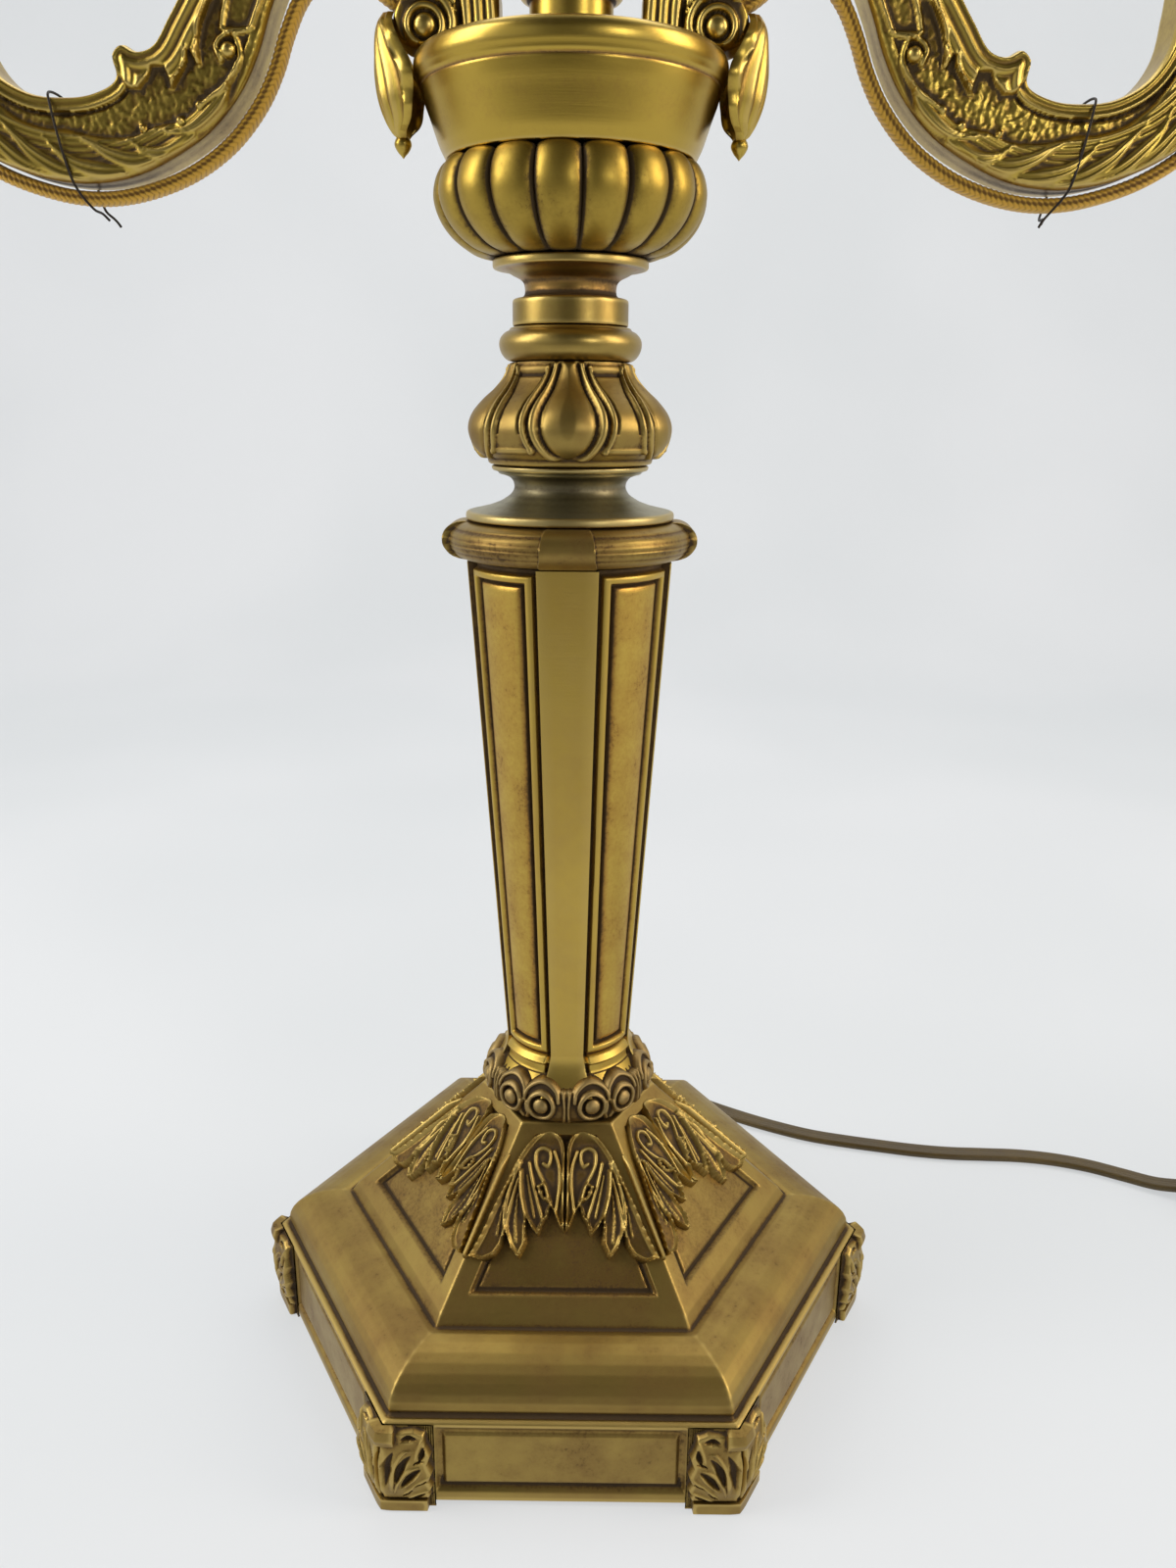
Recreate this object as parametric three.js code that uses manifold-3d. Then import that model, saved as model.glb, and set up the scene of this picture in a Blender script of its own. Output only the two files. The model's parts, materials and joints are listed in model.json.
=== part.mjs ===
// Candelabra table lamp, millimetres, +Z up, origin at the centre of the six corner feet on the table.
import * as THREE from 'three';
import { mergeVertices } from 'three/addons/utils/BufferGeometryUtils.js';
import Module from 'manifold-3d';

const wasm = await Module();
wasm.setup();

// Fits
const gap = 0.3;
const pipeRadius = 6.6;
const pipeBore = 4.6;
const pipeHole = pipeRadius + 0.5;

// Hexagonal base: circumradii of its steps, and their heights
const plinthCorner = 97.8;
const plinthLift = 1.5;
const plinthTop = 28.5;
const plinthWall = 4;
const ledgeCorner = plinthCorner - 2.8;
const ledgeTop = 30.4;
const ovoloCorner = ledgeCorner - 19;
const ovoloTop = 42;
const frameCorner = ovoloCorner - 5.2;
const frameFoot = 44.9;
const neckCorner = 30;
const baseTop = 84.5;
const panelInset = 6;
const panelDepth = 1.6;
const wallGroove = 1.3;
const footWing = 11.4;
const wallPanel = [plinthCorner - 2 * footWing - 8, 19.4];
const footReach = 3.4;

// Stack on the base: height of each turned or cast piece
const medallionHeight = 8.3;
const medallionRadius = 26.3;
const medallionCount = 12;
const columnHeight = 160.3;
const capitalHeight = 10.6;
const capitalRadius = 34.6;
const neckHeight = 14.7;
const knopHeight = 26.5;
const smallTorusHeight = 8.7;
const smallTorusRadius = 19.4;
const collarHeight = 16.5;
const bowlHeight = 22.5;
const bowlRadius = 35.9;
const lobeCount = 18;
const lobeDepth = 2.4;
const urnHeight = 24.3;
const urnRimRadius = 40.1;
const urnLedge = 5.6;
const coverThickness = 2.7;
const urnRimWall = 4.3;
const coverRadius = urnRimRadius - urnRimWall;
const tubeRadius = 10.6;
const tubeWall = 1.6;
const tubeHeight = 53;
const stemCapHeight = 16;

// Column: distance of its strips from the axis at foot and head, and its four flat strips
const columnFoot = 19.2;
const columnHead = 28.5;
const columnWall = 5;
const columnSides = 4;
const stripFoot = 5;
const stripHead = 8.4;
const recessDepth = 1.1;

// Arms
const armWidth = 15;
const cupReach = 160.5;
const drawnReach = 160.5;
const armRootEnd = 50;
const armScrewReach = 29.2;
const armScrewRadius = 2.4;
const armCordWidth = 6;
const armCordThickness = 3.6;
const wireRadius = 0.35;

// Candle lights, heights above the face that each one stands on
const panRadius = 27.5;
const cupHeight = 27.5;
const cupFloor = 14.5;
const sleeveHeight = 65;
const studRadius = 4.6;
const studDepth = 9.5;
const holderRadius = 9.6;
const socketRadius = holderRadius - 2.3;
const sleeveWall = 1;
const sleeveRadius = holderRadius + 1.6 + sleeveWall;
const cupRadius = sleeveRadius + 5;
const bulbRadius = 17;
const bulbHeight = 141;

// Mains cord, its switch and its plug
const cordWidth = 7;
const cordThickness = 3.7;
const cordRest = cordThickness / 2 + 0.15;
const cordExit = 11.5;
const bushingLength = 24;
const switchLength = 52;
const switchWidth = 21;
const switchHeight = 14;
const switchCord = 4.6;
const wheelRadius = 9.8;
const wheelThickness = 5;
const wheelReach = 3.4;
const pinRadius = 2;
const coilRadius = 48;
const coilPitch = 7.9;
const coilLayer = 4.6;
const coilTurns = 2.33;
const coilSteps = 20;
const plugLength = 32;
const plugWidth = 23;
const plugHeight = 12;
const bladeLength = 17;
const bladeSpacing = 12.7;

// Finishes
const brass = { color: 0x9a7a3a, roughness: 0.42, metalness: 1 };
const polished = { color: 0xb09236, roughness: 0.28, metalness: 1 };
const greyBrass = { color: 0x8d8a72, roughness: 0.45, metalness: 1 };
const steel = { color: 0x9b9b98, roughness: 0.35, metalness: 1 };
const felt = { color: 0x2f4a35, roughness: 0.95, metalness: 0 };
const braid = { color: 0xb8932f, roughness: 0.8, metalness: 0 };
const darkWire = { color: 0x2b2420, roughness: 0.5, metalness: 1 };
const ivory = { color: 0xe9dfc4, roughness: 0.5, metalness: 0 };
const opal = { color: 0xf2eee2, roughness: 0.2, metalness: 0 };
const brownPlastic = { color: 0x4a3a1e, roughness: 0.5, metalness: 0 };
const paleResin = { color: 0xd8d4c4, roughness: 0.6, metalness: 0 };

const lamp = new THREE.Group();

// Closed geometry with shared vertices, no flat triangles and its faces pointing out
function tidy(source) {
  const bare = source.index ? source.toNonIndexed() : source.clone();
  for (const name of Object.keys(bare.attributes)) {
    if (name !== 'position') bare.deleteAttribute(name);
  }
  const merged = mergeVertices(bare, 1e-4);
  const at = merged.attributes.position;
  const index = merged.index.array;
  const kept = [];
  const corner = [0, 1, 2].map(() => new THREE.Vector3());
  let volume = 0;
  for (let i = 0; i < index.length; i += 3) {
    const [a, b, c] = [index[i], index[i + 1], index[i + 2]];
    if (a === b || b === c || a === c) continue;
    kept.push(a, b, c);
    [a, b, c].forEach((v, k) => corner[k].fromBufferAttribute(at, v));
    volume += corner[0].dot(corner[1].clone().cross(corner[2]));
  }
  if (volume < 0) {
    for (let i = 0; i < kept.length; i += 3) [kept[i], kept[i + 1]] = [kept[i + 1], kept[i]];
  }
  merged.setIndex(kept);
  return merged;
}

function toSolid(geometry) {
  const clean = tidy(geometry);
  const mesh = new wasm.Mesh({
    numProp: 3,
    vertProperties: new Float32Array(clean.attributes.position.array),
    triVerts: new Uint32Array(clean.index.array),
  });
  return new wasm.Manifold(mesh);
}

function toGeometry(solid) {
  const mesh = solid.getMesh();
  const geometry = new THREE.BufferGeometry();
  geometry.setAttribute('position', new THREE.BufferAttribute(new Float32Array(mesh.vertProperties), 3));
  geometry.setIndex(Array.from(mesh.triVerts));
  return geometry;
}

function joined(geometries) {
  return toGeometry(geometries.map(toSolid).reduce((sum, next) => sum.add(next)));
}

function cut(geometry, cutters) {
  return toGeometry(cutters.map(toSolid).reduce((rest, next) => rest.subtract(next), toSolid(geometry)));
}

// Turned piece from [radius, height] points that close on themselves
function turned(points, segments = 16, start = 0) {
  const outline = [...points, points[0]].map(([radius, height]) => new THREE.Vector2(radius, height));
  const geometry = new THREE.LatheGeometry(outline, segments, start);
  return tidy(geometry.rotateX(Math.PI / 2));
}

// Hexagonal turning with a flat side to the front
function hexTurned(points) {
  return turned(points, 6, Math.PI / 6);
}

// Skin through rings of points with equal counts, closed at both ends or joined last to first
function loft(rings, joinEnds = false) {
  const count = rings[0].length;
  const points = rings.flat();
  const index = [];
  const spans = joinEnds ? rings.length : rings.length - 1;
  for (let r = 0; r < spans; r += 1) {
    const low = r * count;
    const high = ((r + 1) % rings.length) * count;
    for (let i = 0; i < count; i += 1) {
      const j = (i + 1) % count;
      index.push(low + i, low + j, high + j, low + i, high + j, high + i);
    }
  }
  if (!joinEnds) {
    const ends = [0, (rings.length - 1) * count];
    ends.forEach((first, end) => {
      const flat = capOutline(rings[end === 0 ? 0 : rings.length - 1]);
      for (const [a, b, c] of THREE.ShapeUtils.triangulateShape(flat, [])) {
        if (end === 0) index.push(first + c, first + b, first + a);
        else index.push(first + a, first + b, first + c);
      }
    });
  }
  const geometry = new THREE.BufferGeometry();
  const numbers = points.flatMap((p) => [p.x, p.y, p.z]);
  geometry.setAttribute('position', new THREE.Float32BufferAttribute(numbers, 3));
  geometry.setIndex(index);
  return tidy(geometry);
}

// A ring's points in its own plane, counter-clockwise as the skin runs
function capOutline(ring) {
  const middle = ring.reduce((sum, p) => sum.add(p), new THREE.Vector3()).divideScalar(ring.length);
  const normal = new THREE.Vector3();
  ring.forEach((p, i) => {
    const next = ring[(i + 1) % ring.length];
    normal.add(p.clone().sub(middle).cross(next.clone().sub(middle)));
  });
  normal.normalize();
  const across = ring[0].clone().sub(middle).normalize();
  const up = normal.clone().cross(across);
  return ring.map((p) => {
    const from = p.clone().sub(middle);
    return new THREE.Vector2(from.dot(across), from.dot(up));
  });
}

// Bar of one section along a smooth path
function swept(path, section, steps) {
  const settings = { extrudePath: path, steps, bevelEnabled: false };
  return tidy(new THREE.ExtrudeGeometry(section, settings));
}

function ellipse(width, height, sides) {
  const points = [];
  for (let i = 0; i < sides; i += 1) {
    const turn = ((i + 0.5) / sides) * 2 * Math.PI;
    const reach = 1 / Math.cos(Math.PI / sides);
    const [x, y] = [(width / 2) * reach * Math.cos(turn), (height / 2) * reach * Math.sin(turn)];
    points.push(new THREE.Vector2(x, y));
  }
  return new THREE.Shape(points);
}

function curve(points) {
  const places = points.map(([x, y, z]) => new THREE.Vector3(x, y, z));
  return new THREE.CatmullRomCurve3(places, false, 'centripetal');
}

// Flat cord along a path, turned so that it lies flat where the path ends
function flatCord(path, width, thickness, steps) {
  const frames = path.computeFrenetFrames(steps, false);
  const lean = Math.atan2(frames.binormals[steps].z, frames.normals[steps].z);
  const middle = new THREE.Vector2();
  const section = ellipse(thickness, width, 8).getPoints().map((p) => p.rotateAround(middle, lean));
  return swept(path, new THREE.Shape(section), steps);
}

// Block with its middle at a place
function block(sizeX, sizeY, sizeZ, x = 0, y = 0, z = 0) {
  return new THREE.BoxGeometry(sizeX, sizeY, sizeZ).translate(x, y, z);
}

// Upright cylinder from one height to another
function rod(radius, low, high, sides = 24) {
  return new THREE.CylinderGeometry(radius, radius, high - low, sides)
    .rotateX(Math.PI / 2)
    .translate(0, 0, (low + high) / 2);
}

function around(geometry, count, offset = 0) {
  const step = (2 * Math.PI) / count;
  return Array.from({ length: count }, (_, k) => geometry.clone().rotateZ(offset + k * step));
}

function piece(name, geometry, finish, place = [0, 0, 0]) {
  const mesh = new THREE.Mesh(tidy(geometry), new THREE.MeshStandardMaterial(finish));
  mesh.name = name;
  mesh.position.set(...place);
  lamp.add(mesh);
  return mesh;
}

function ring(count, at) {
  return Array.from({ length: count }, (_, i) => at(i));
}

// Point at an angle measured from the front, -Y, towards +X
function polar(angle, radius, height) {
  return new THREE.Vector3(radius * Math.sin(angle), -radius * Math.cos(angle), height);
}

// Base casting
const apothem = Math.cos(Math.PI / 6);
const slopeRun = (frameCorner - neckCorner) * apothem;
const slopeRise = baseTop - 2.5 - frameFoot;
const slopeLength = Math.hypot(slopeRun, slopeRise);
const slopeTilt = Math.atan2(slopeRise, slopeRun);

function slopePanel() {
  const halfFoot = frameCorner / 2;
  const taper = (frameCorner - neckCorner) / 2 / slopeLength;
  const inset = panelInset * Math.hypot(1, taper);
  const halfAt = (v) => halfFoot - inset - taper * v;
  const top = slopeLength - 3;
  const outline = new THREE.Shape([
    new THREE.Vector2(-halfAt(panelInset), panelInset),
    new THREE.Vector2(halfAt(panelInset), panelInset),
    new THREE.Vector2(halfAt(top), top),
    new THREE.Vector2(-halfAt(top), top),
  ]);
  return new THREE.ExtrudeGeometry(outline, { depth: 10, bevelEnabled: false })
    .translate(0, 0, -panelDepth)
    .rotateX(slopeTilt)
    .translate(0, -frameCorner * apothem, frameFoot);
}

function wallGrooves() {
  const [width, height] = wallPanel;
  const middle = (plinthLift + plinthTop) / 2 + 1;
  const front = -plinthCorner * apothem;
  const deep = 2;
  return [
    block(width, deep, wallGroove, 0, front, middle - height / 2),
    block(width, deep, wallGroove, 0, front, middle + height / 2),
    block(wallGroove, deep, height, -width / 2, front, middle),
    block(wallGroove, deep, height, width / 2, front, middle),
  ];
}

function baseCasting() {
  const ovolo = ring(6, (i) => {
    const turn = (i / 5) * (Math.PI / 2);
    const reach = ledgeCorner - ovoloCorner;
    return [ovoloCorner + reach * Math.cos(turn), ledgeTop + (ovoloTop - ledgeTop) * Math.sin(turn)];
  });
  const shell = hexTurned([
    [plinthCorner - plinthWall, plinthLift],
    [plinthCorner, plinthLift],
    [plinthCorner, plinthTop],
    [ledgeCorner + 0.8, plinthTop + 0.7],
    ...ovolo,
    [frameCorner + 1.6, ovoloTop + 0.6],
    [frameCorner, frameFoot],
    [neckCorner, baseTop - 2.5],
    [neckCorner - 2.5, baseTop],
    [pipeHole * 1.2, baseTop],
    [pipeHole * 1.2, baseTop - 7],
    [neckCorner - 9, baseTop - 7],
    [frameCorner - 9, frameFoot - 5],
    [ovoloCorner, ovoloTop - 6],
    [plinthCorner - plinthWall, plinthTop - 3],
  ]);
  const panels = around(slopePanel(), 6);
  const grooves = wallGrooves().flatMap((groove) => around(groove, 6));
  const cordHole = new THREE.CylinderGeometry(5.3, 5.3, 20, 16)
    .translate(0, plinthCorner * apothem, cordExit);
  return cut(shell, [...panels, ...grooves, cordHole]);
}

piece('base_casting', baseCasting(), brass);

const boardCorner = plinthCorner - plinthWall - 0.6;
piece('base_board', hexTurned([
  [0, plinthLift + 0.6],
  [boardCorner, plinthLift + 0.6],
  [boardCorner, plinthLift + 2.6],
  [0, plinthLift + 2.6],
]), felt);

// Corner feet: angled blocks that wrap the plinth's corners and swell as a leaf
function cornerFoot() {
  const along = [new THREE.Vector2(-0.5, apothem), new THREE.Vector2(-0.5, -apothem)];
  const out = [new THREE.Vector2(apothem, 0.5), new THREE.Vector2(apothem, -0.5)];
  const vertex = new THREE.Vector2(plinthCorner, 0);
  const wing = (side, reach) => vertex.clone()
    .addScaledVector(along[side], footWing)
    .addScaledVector(out[side], reach);
  const tip = (reach) => new THREE.Vector2(plinthCorner + reach / apothem, 0);
  const levels = [[0, 0], [4.2, 0], [4.7, -0.8], [9, 0.4], [15, 1.7], [20, 1.4], [23.6, -0.8], [24.1, 0],
    [28.2, 0]];
  const rings = levels.map(([height, swell]) => {
    const reach = footReach + swell;
    const flat = [tip(gap), wing(1, gap), wing(1, reach), tip(reach), wing(0, reach), wing(0, gap)];
    return flat.map((p) => new THREE.Vector3(p.x, p.y, height));
  });
  return loft(rings);
}

around(cornerFoot(), 6).forEach((foot, k) => piece(`corner_foot_${k + 1}`, foot, brass));

// Leaf collar over the slopes: long tips on the ridges, a short one on each face
const collarLow = 56;
const collarThickness = 2.2;

function leafCollar() {
  const slope = (height) => frameCorner + ((neckCorner - frameCorner) * (height - frameFoot)) / slopeRise;
  const inner = (height) => slope(height) + gap / apothem + 0.1;
  const shell = hexTurned([
    [inner(collarLow), collarLow],
    [inner(collarLow) + collarThickness, collarLow],
    [inner(70) + collarThickness + 1.2, 70],
    [neckCorner + 1.2, baseTop - 0.2],
    [neckCorner - 1.2, baseTop - 0.2],
    [inner(baseTop - 3), baseTop - 2.6],
  ]);
  const halfFace = slope(collarLow) / 2 + 2;
  const notch = new THREE.Shape([
    new THREE.Vector2(3, -3),
    new THREE.Vector2(halfFace - 3, -3),
    new THREE.Vector2(halfFace * 0.5, 9),
  ]);
  const cutter = new THREE.ExtrudeGeometry(notch, { depth: 16, bevelEnabled: false })
    .translate(0, 0, -6)
    .rotateX(slopeTilt)
    .translate(0, -slope(collarLow) * apothem, collarLow);
  const mirrored = cutter.clone().applyMatrix4(new THREE.Matrix4().makeScale(-1, 1, 1));
  return cut(shell, [...around(cutter, 6), ...around(tidy(mirrored), 6)]);
}

piece('leaf_collar', leafCollar(), brass);

// Medallion ring
const ringLow = baseTop + gap;
const ringTop = ringLow + medallionHeight;

function medallionRing() {
  const body = turned([
    [18, ringLow],
    [medallionRadius - 0.9, ringLow],
    [medallionRadius, ringLow + 2],
    [medallionRadius, ringTop - 2],
    [medallionRadius - 1, ringTop],
    [18, ringTop],
  ]);
  const radius = medallionHeight / 2 - 0.2;
  const disc = new THREE.CylinderGeometry(radius - 0.7, radius, 6, 6)
    .rotateX(Math.PI)
    .translate(0, -(medallionRadius - 2.1), (ringLow + ringTop) / 2);
  const discs = ring(medallionCount, (k) => {
    const side = k % 2 === 0 ? -1 : 1;
    const angle = Math.floor(k / 2) * (Math.PI / 3) + side * THREE.MathUtils.degToRad(16);
    return disc.clone().rotateZ(angle);
  });
  return joined([body, ...discs]);
}

piece('medallion_ring', medallionRing(), brass);

// Column: four flat strips with four framed, sunk panels between them
const columnLow = ringTop + gap;
const columnTop = columnLow + columnHeight;

function columnRing(height, radius, half, sunk) {
  const lean = (reach) => Math.asin(reach / radius);
  const sector = (2 * Math.PI) / columnSides;
  const edge = [
    [lean(half + 0.9), radius - 1.6],
    [lean(half + 2.4), radius - 0.6],
    [lean(half + 3.4), radius - 0.6 - sunk],
  ];
  const strip = Math.hypot(radius, half);
  const swing = Math.atan2(half, radius);
  const points = [];
  for (let k = 0; k < columnSides; k += 1) {
    const turn = k * sector;
    points.push(polar(turn - swing, strip, height), polar(turn + swing, strip, height));
    edge.forEach(([angle, reach]) => points.push(polar(turn + angle, reach, height)));
    for (const share of [0.4, 0.6]) points.push(polar(turn + sector * share, radius - 0.6 - sunk, height));
    edge.toReversed().forEach(([angle, reach]) => points.push(polar(turn + sector - angle, reach, height)));
  }
  return points;
}

function columnCasting() {
  const waist = columnLow + 11;
  const shaftRadius = (height) => {
    const share = (height - waist) / (columnTop - waist);
    return columnFoot + (columnHead - columnFoot) * share;
  };
  const flare = [[0, 6.6], [4.6, 3.6], [7.2, 1.4], [11, 0]];
  const levels = flare.map(([rise, more]) =>
    [columnLow + rise, columnFoot + more, stripFoot + more * 0.35, 0]);
  const shaft = [[15.6, 0], [16.6, 1], [columnHeight - 5, 1], [columnHeight - 4, 0], [columnHeight, 0]];
  for (const [rise, share] of shaft) {
    const height = columnLow + rise;
    const half = stripFoot + ((stripHead - stripFoot) * (height - waist)) / (columnTop - waist);
    levels.push([height, shaftRadius(height), half, recessDepth * share]);
  }
  const outer = levels.map((level) => columnRing(...level));
  const count = outer[0].length;
  const bore = (height, radius) => ring(count, (i) => polar((i / count) * 2 * Math.PI, radius, height));
  const inner = [bore(columnTop, columnHead - columnWall), bore(columnLow, columnFoot - columnWall)];
  return loft([...outer, ...inner], true);
}

piece('column', columnCasting(), brass);

// Capital: torus with a square band over each strip
const capitalLow = columnTop + gap;
const capitalTop = capitalLow + capitalHeight;

function capital() {
  const body = turned([
    [14, capitalLow],
    [capitalRadius - 5.6, capitalLow],
    [capitalRadius - 1.4, capitalLow + 1.8],
    [capitalRadius, capitalLow + 5.6],
    [capitalRadius - 1.4, capitalLow + 9],
    [capitalRadius - 4.6, capitalTop],
    [14, capitalTop],
  ], 20);
  const outline = new THREE.Shape([
    new THREE.Vector2(20, 0),
    new THREE.Vector2(capitalRadius - 3.6, 0),
    new THREE.Vector2(capitalRadius + 0.4, 2.6),
    new THREE.Vector2(capitalRadius + 0.9, 5.6),
    new THREE.Vector2(capitalRadius + 0.2, 8.6),
    new THREE.Vector2(capitalRadius - 3.4, capitalHeight),
    new THREE.Vector2(20, capitalHeight),
  ]);
  const width = 2 * stripHead + 1;
  const band = new THREE.ExtrudeGeometry(outline, { depth: width, bevelEnabled: false })
    .translate(0, 0, -width / 2)
    .rotateX(Math.PI / 2)
    .translate(0, 0, capitalLow);
  return joined([body, ...around(band, 4, -Math.PI / 2)]);
}

piece('column_capital', capital(), brass);

// Plate and hollow neck
const neckLow = capitalTop + gap;
const neckTop = neckLow + neckHeight;
const neckOutline = [[29.1, 0], [29.1, 2.1], [26.9, 2.7], [19.5, 4.8], [15.6, 8], [16.4, 10.8], [19.4, 12.2],
  [21.8, neckHeight]];
piece('hollow_neck', turned([[pipeHole, neckLow], ...neckOutline.map(([r, h]) => [r, neckLow + h]),
  [pipeHole, neckTop]], 20), greyBrass);

// Knop with five raised tongues
const knopLow = neckTop + gap;
const knopTop = knopLow + knopHeight;

function knop() {
  const outline = [[22.6, 0], [25.7, 3.3], [27.6, 7.8], [26.9, 11.6], [23.6, 16.1], [19.4, 20.1], [17, 23.4],
    [16.1, knopHeight]];
  const body = turned([
    [pipeHole, knopLow],
    ...outline.map(([radius, rise]) => [radius, knopLow + rise]),
    [pipeHole, knopTop],
    [pipeHole, knopTop - 4],
    [14, knopTop - 8],
    [20, knopLow + 9],
    [19, knopLow + 5],
    [pipeHole, knopLow + 3],
  ]);
  const tongue = new THREE.SphereGeometry(1, 6, 4)
    .scale(7.2, 3.4, 9)
    .rotateX(0.28)
    .translate(0, -25.2, knopLow + 9.6);
  return joined([body, ...around(tongue, 5)]);
}

piece('knop', knop(), brass);

// Small torus, then the collar with its flared neck and flange
const torusLow = knopTop + gap;
const torusTop = torusLow + smallTorusHeight;
piece('small_torus', turned([
  [pipeHole, torusLow],
  [smallTorusRadius - 2.9, torusLow],
  [smallTorusRadius - 0.9, torusLow + 1.9],
  [smallTorusRadius, torusLow + 4.4],
  [smallTorusRadius - 0.9, torusLow + 6.4],
  [smallTorusRadius - 3.4, torusTop],
  [pipeHole, torusTop],
]), brass);

const collarBase = torusTop + gap;
const collarTop = collarBase + collarHeight;
piece('flanged_collar', turned([
  [pipeHole, collarBase],
  [15.5, collarBase],
  [15.5, collarBase + 6.7],
  [12.2, collarBase + 7.3],
  [12.2, collarBase + 10.8],
  [15.4, collarBase + 12.1],
  [18.1, collarBase + 14],
  [20.8, collarBase + 14.2],
  [20.8, collarTop],
  [pipeHole, collarTop],
]), brass);

// Gadrooned bowl: rounded lobes with sharp valleys between them
const bowlLow = collarTop + gap;
const bowlTop = bowlLow + bowlHeight;

function gadroonedBowl() {
  const perLobe = 3;
  const count = lobeCount * perLobe;
  const outline = [[13.4, 0, 0.4], [7.4, 2.2, 0.9], [2.3, 7, 1], [0, 13.4, 1], [1, 18.6, 0.9],
    [3.5, bowlHeight, 0.3]];
  const lobed = ([inset, rise, share]) => ring(count, (i) => {
    const phase = (i % perLobe) / perLobe;
    const dip = 1 - Math.sin(Math.PI * phase);
    const angle = (i / count) * 2 * Math.PI + THREE.MathUtils.degToRad(6);
    return polar(angle, bowlRadius - inset - lobeDepth * share * dip, bowlLow + rise);
  });
  const plain = (radius, rise) => ring(count, (i) => {
    const angle = (i / count) * 2 * Math.PI + THREE.MathUtils.degToRad(6);
    return polar(angle, radius, bowlLow + rise);
  });
  const inner = [
    plain(bowlRadius - 7.9, bowlHeight),
    plain(bowlRadius - 9.9, 5),
    plain(pipeHole, 3),
    plain(pipeHole, 0),
  ];
  return loft([...outline.map(lobed), ...inner], true);
}

piece('gadrooned_bowl', gadroonedBowl(), polished);

// Urn body with its rolled rim and the ledge that carries the cover
const urnLow = bowlTop + gap;
const urnTop = urnLow + urnHeight;
const ledgeHeight = urnTop - urnLedge;
piece('urn_body', turned([
  [pipeHole, urnLow],
  [urnRimRadius - 7.7, urnLow],
  [urnRimRadius - 6.3, urnLow + 2.8],
  [urnRimRadius - 3.4, urnLow + 10.7],
  [urnRimRadius - 1.7, ledgeHeight - 2.4],
  [urnRimRadius - 0.7, ledgeHeight - 0.8],
  [urnRimRadius, ledgeHeight + 1.7],
  [urnRimRadius - 0.3, urnTop - 1.7],
  [urnRimRadius - 1.2, urnTop - 0.4],
  [urnRimRadius - 2.6, urnTop],
  [coverRadius + 0.7, urnTop - 0.5],
  [coverRadius + gap, urnTop - 2],
  [coverRadius + gap, ledgeHeight],
  [coverRadius - 2.4, ledgeHeight],
  [coverRadius - 2.7, ledgeHeight - 4],
  [urnRimRadius - 9.1, urnLow + 5],
  [urnRimRadius - 10.1, urnLow + 3],
  [pipeHole, urnLow + 3],
], 22), polished);

// Arm cord: from the terminal block up through the root, over the small arch and under the arm
const coverLow = ledgeHeight + gap;
const coverTop = coverLow + coverThickness;
const armFoot = coverTop + gap;
const armTop = armFoot + 40.4;

// The arm and its cord are drawn for one reach, and stretch beyond the root to another
function along(x) {
  const beyond = Math.max(0, x - armRootEnd);
  return x - beyond + (beyond * (cupReach - armRootEnd)) / (drawnReach - armRootEnd);
}

const armCordPoints = [[20.5, 0, coverLow - 9], [20.5, 0, coverLow], [21.6, 0, armFoot + 5],
  [26.5, 0, armFoot + 10.4],
  [35, 0, armFoot + 12.4], [43, 0, armFoot + 13.8], [47.4, 0, armFoot + 16.4], [51.5, 0, armFoot + 20],
  [57, 0, armFoot + 22], [63, 0, armFoot + 20], [68, 0, armFoot + 14.8], [71.9, 0, armFoot + 7.4],
  [75.2, 0, armFoot - 0.8], [79.8, 0, armFoot - 8.8], [87.8, 0, armFoot - 17.7], [97.9, 0, armFoot - 24.5],
  [108.5, 0, armFoot - 28.7], [119, 0, armFoot - 30.8], [129, 0, armFoot - 30.7], [139, 0, armFoot - 28.6],
  [149.1, 0, armFoot - 24.8], [158.7, 0, armFoot - 18.6], [166.8, 0, armFoot - 9.8], [172, 0, armFoot + 1.3],
  [173.4, 0, armFoot + 13], [172.6, 0, armFoot + 24], [171.3, 0, armFoot + 33], [170.9, 0, armTop - 0.1]]
  .map(([x, y, z]) => [along(x), y, z]);

function armCord() {
  return swept(curve(armCordPoints), ellipse(armCordWidth, armCordThickness, 6), 38);
}

// The cord's way through the cover and the arm's root
function cordWay(room) {
  const section = ellipse(armCordWidth + room, armCordThickness + room, 8);
  return swept(curve(armCordPoints.slice(0, 8)), section, 16);
}

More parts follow.
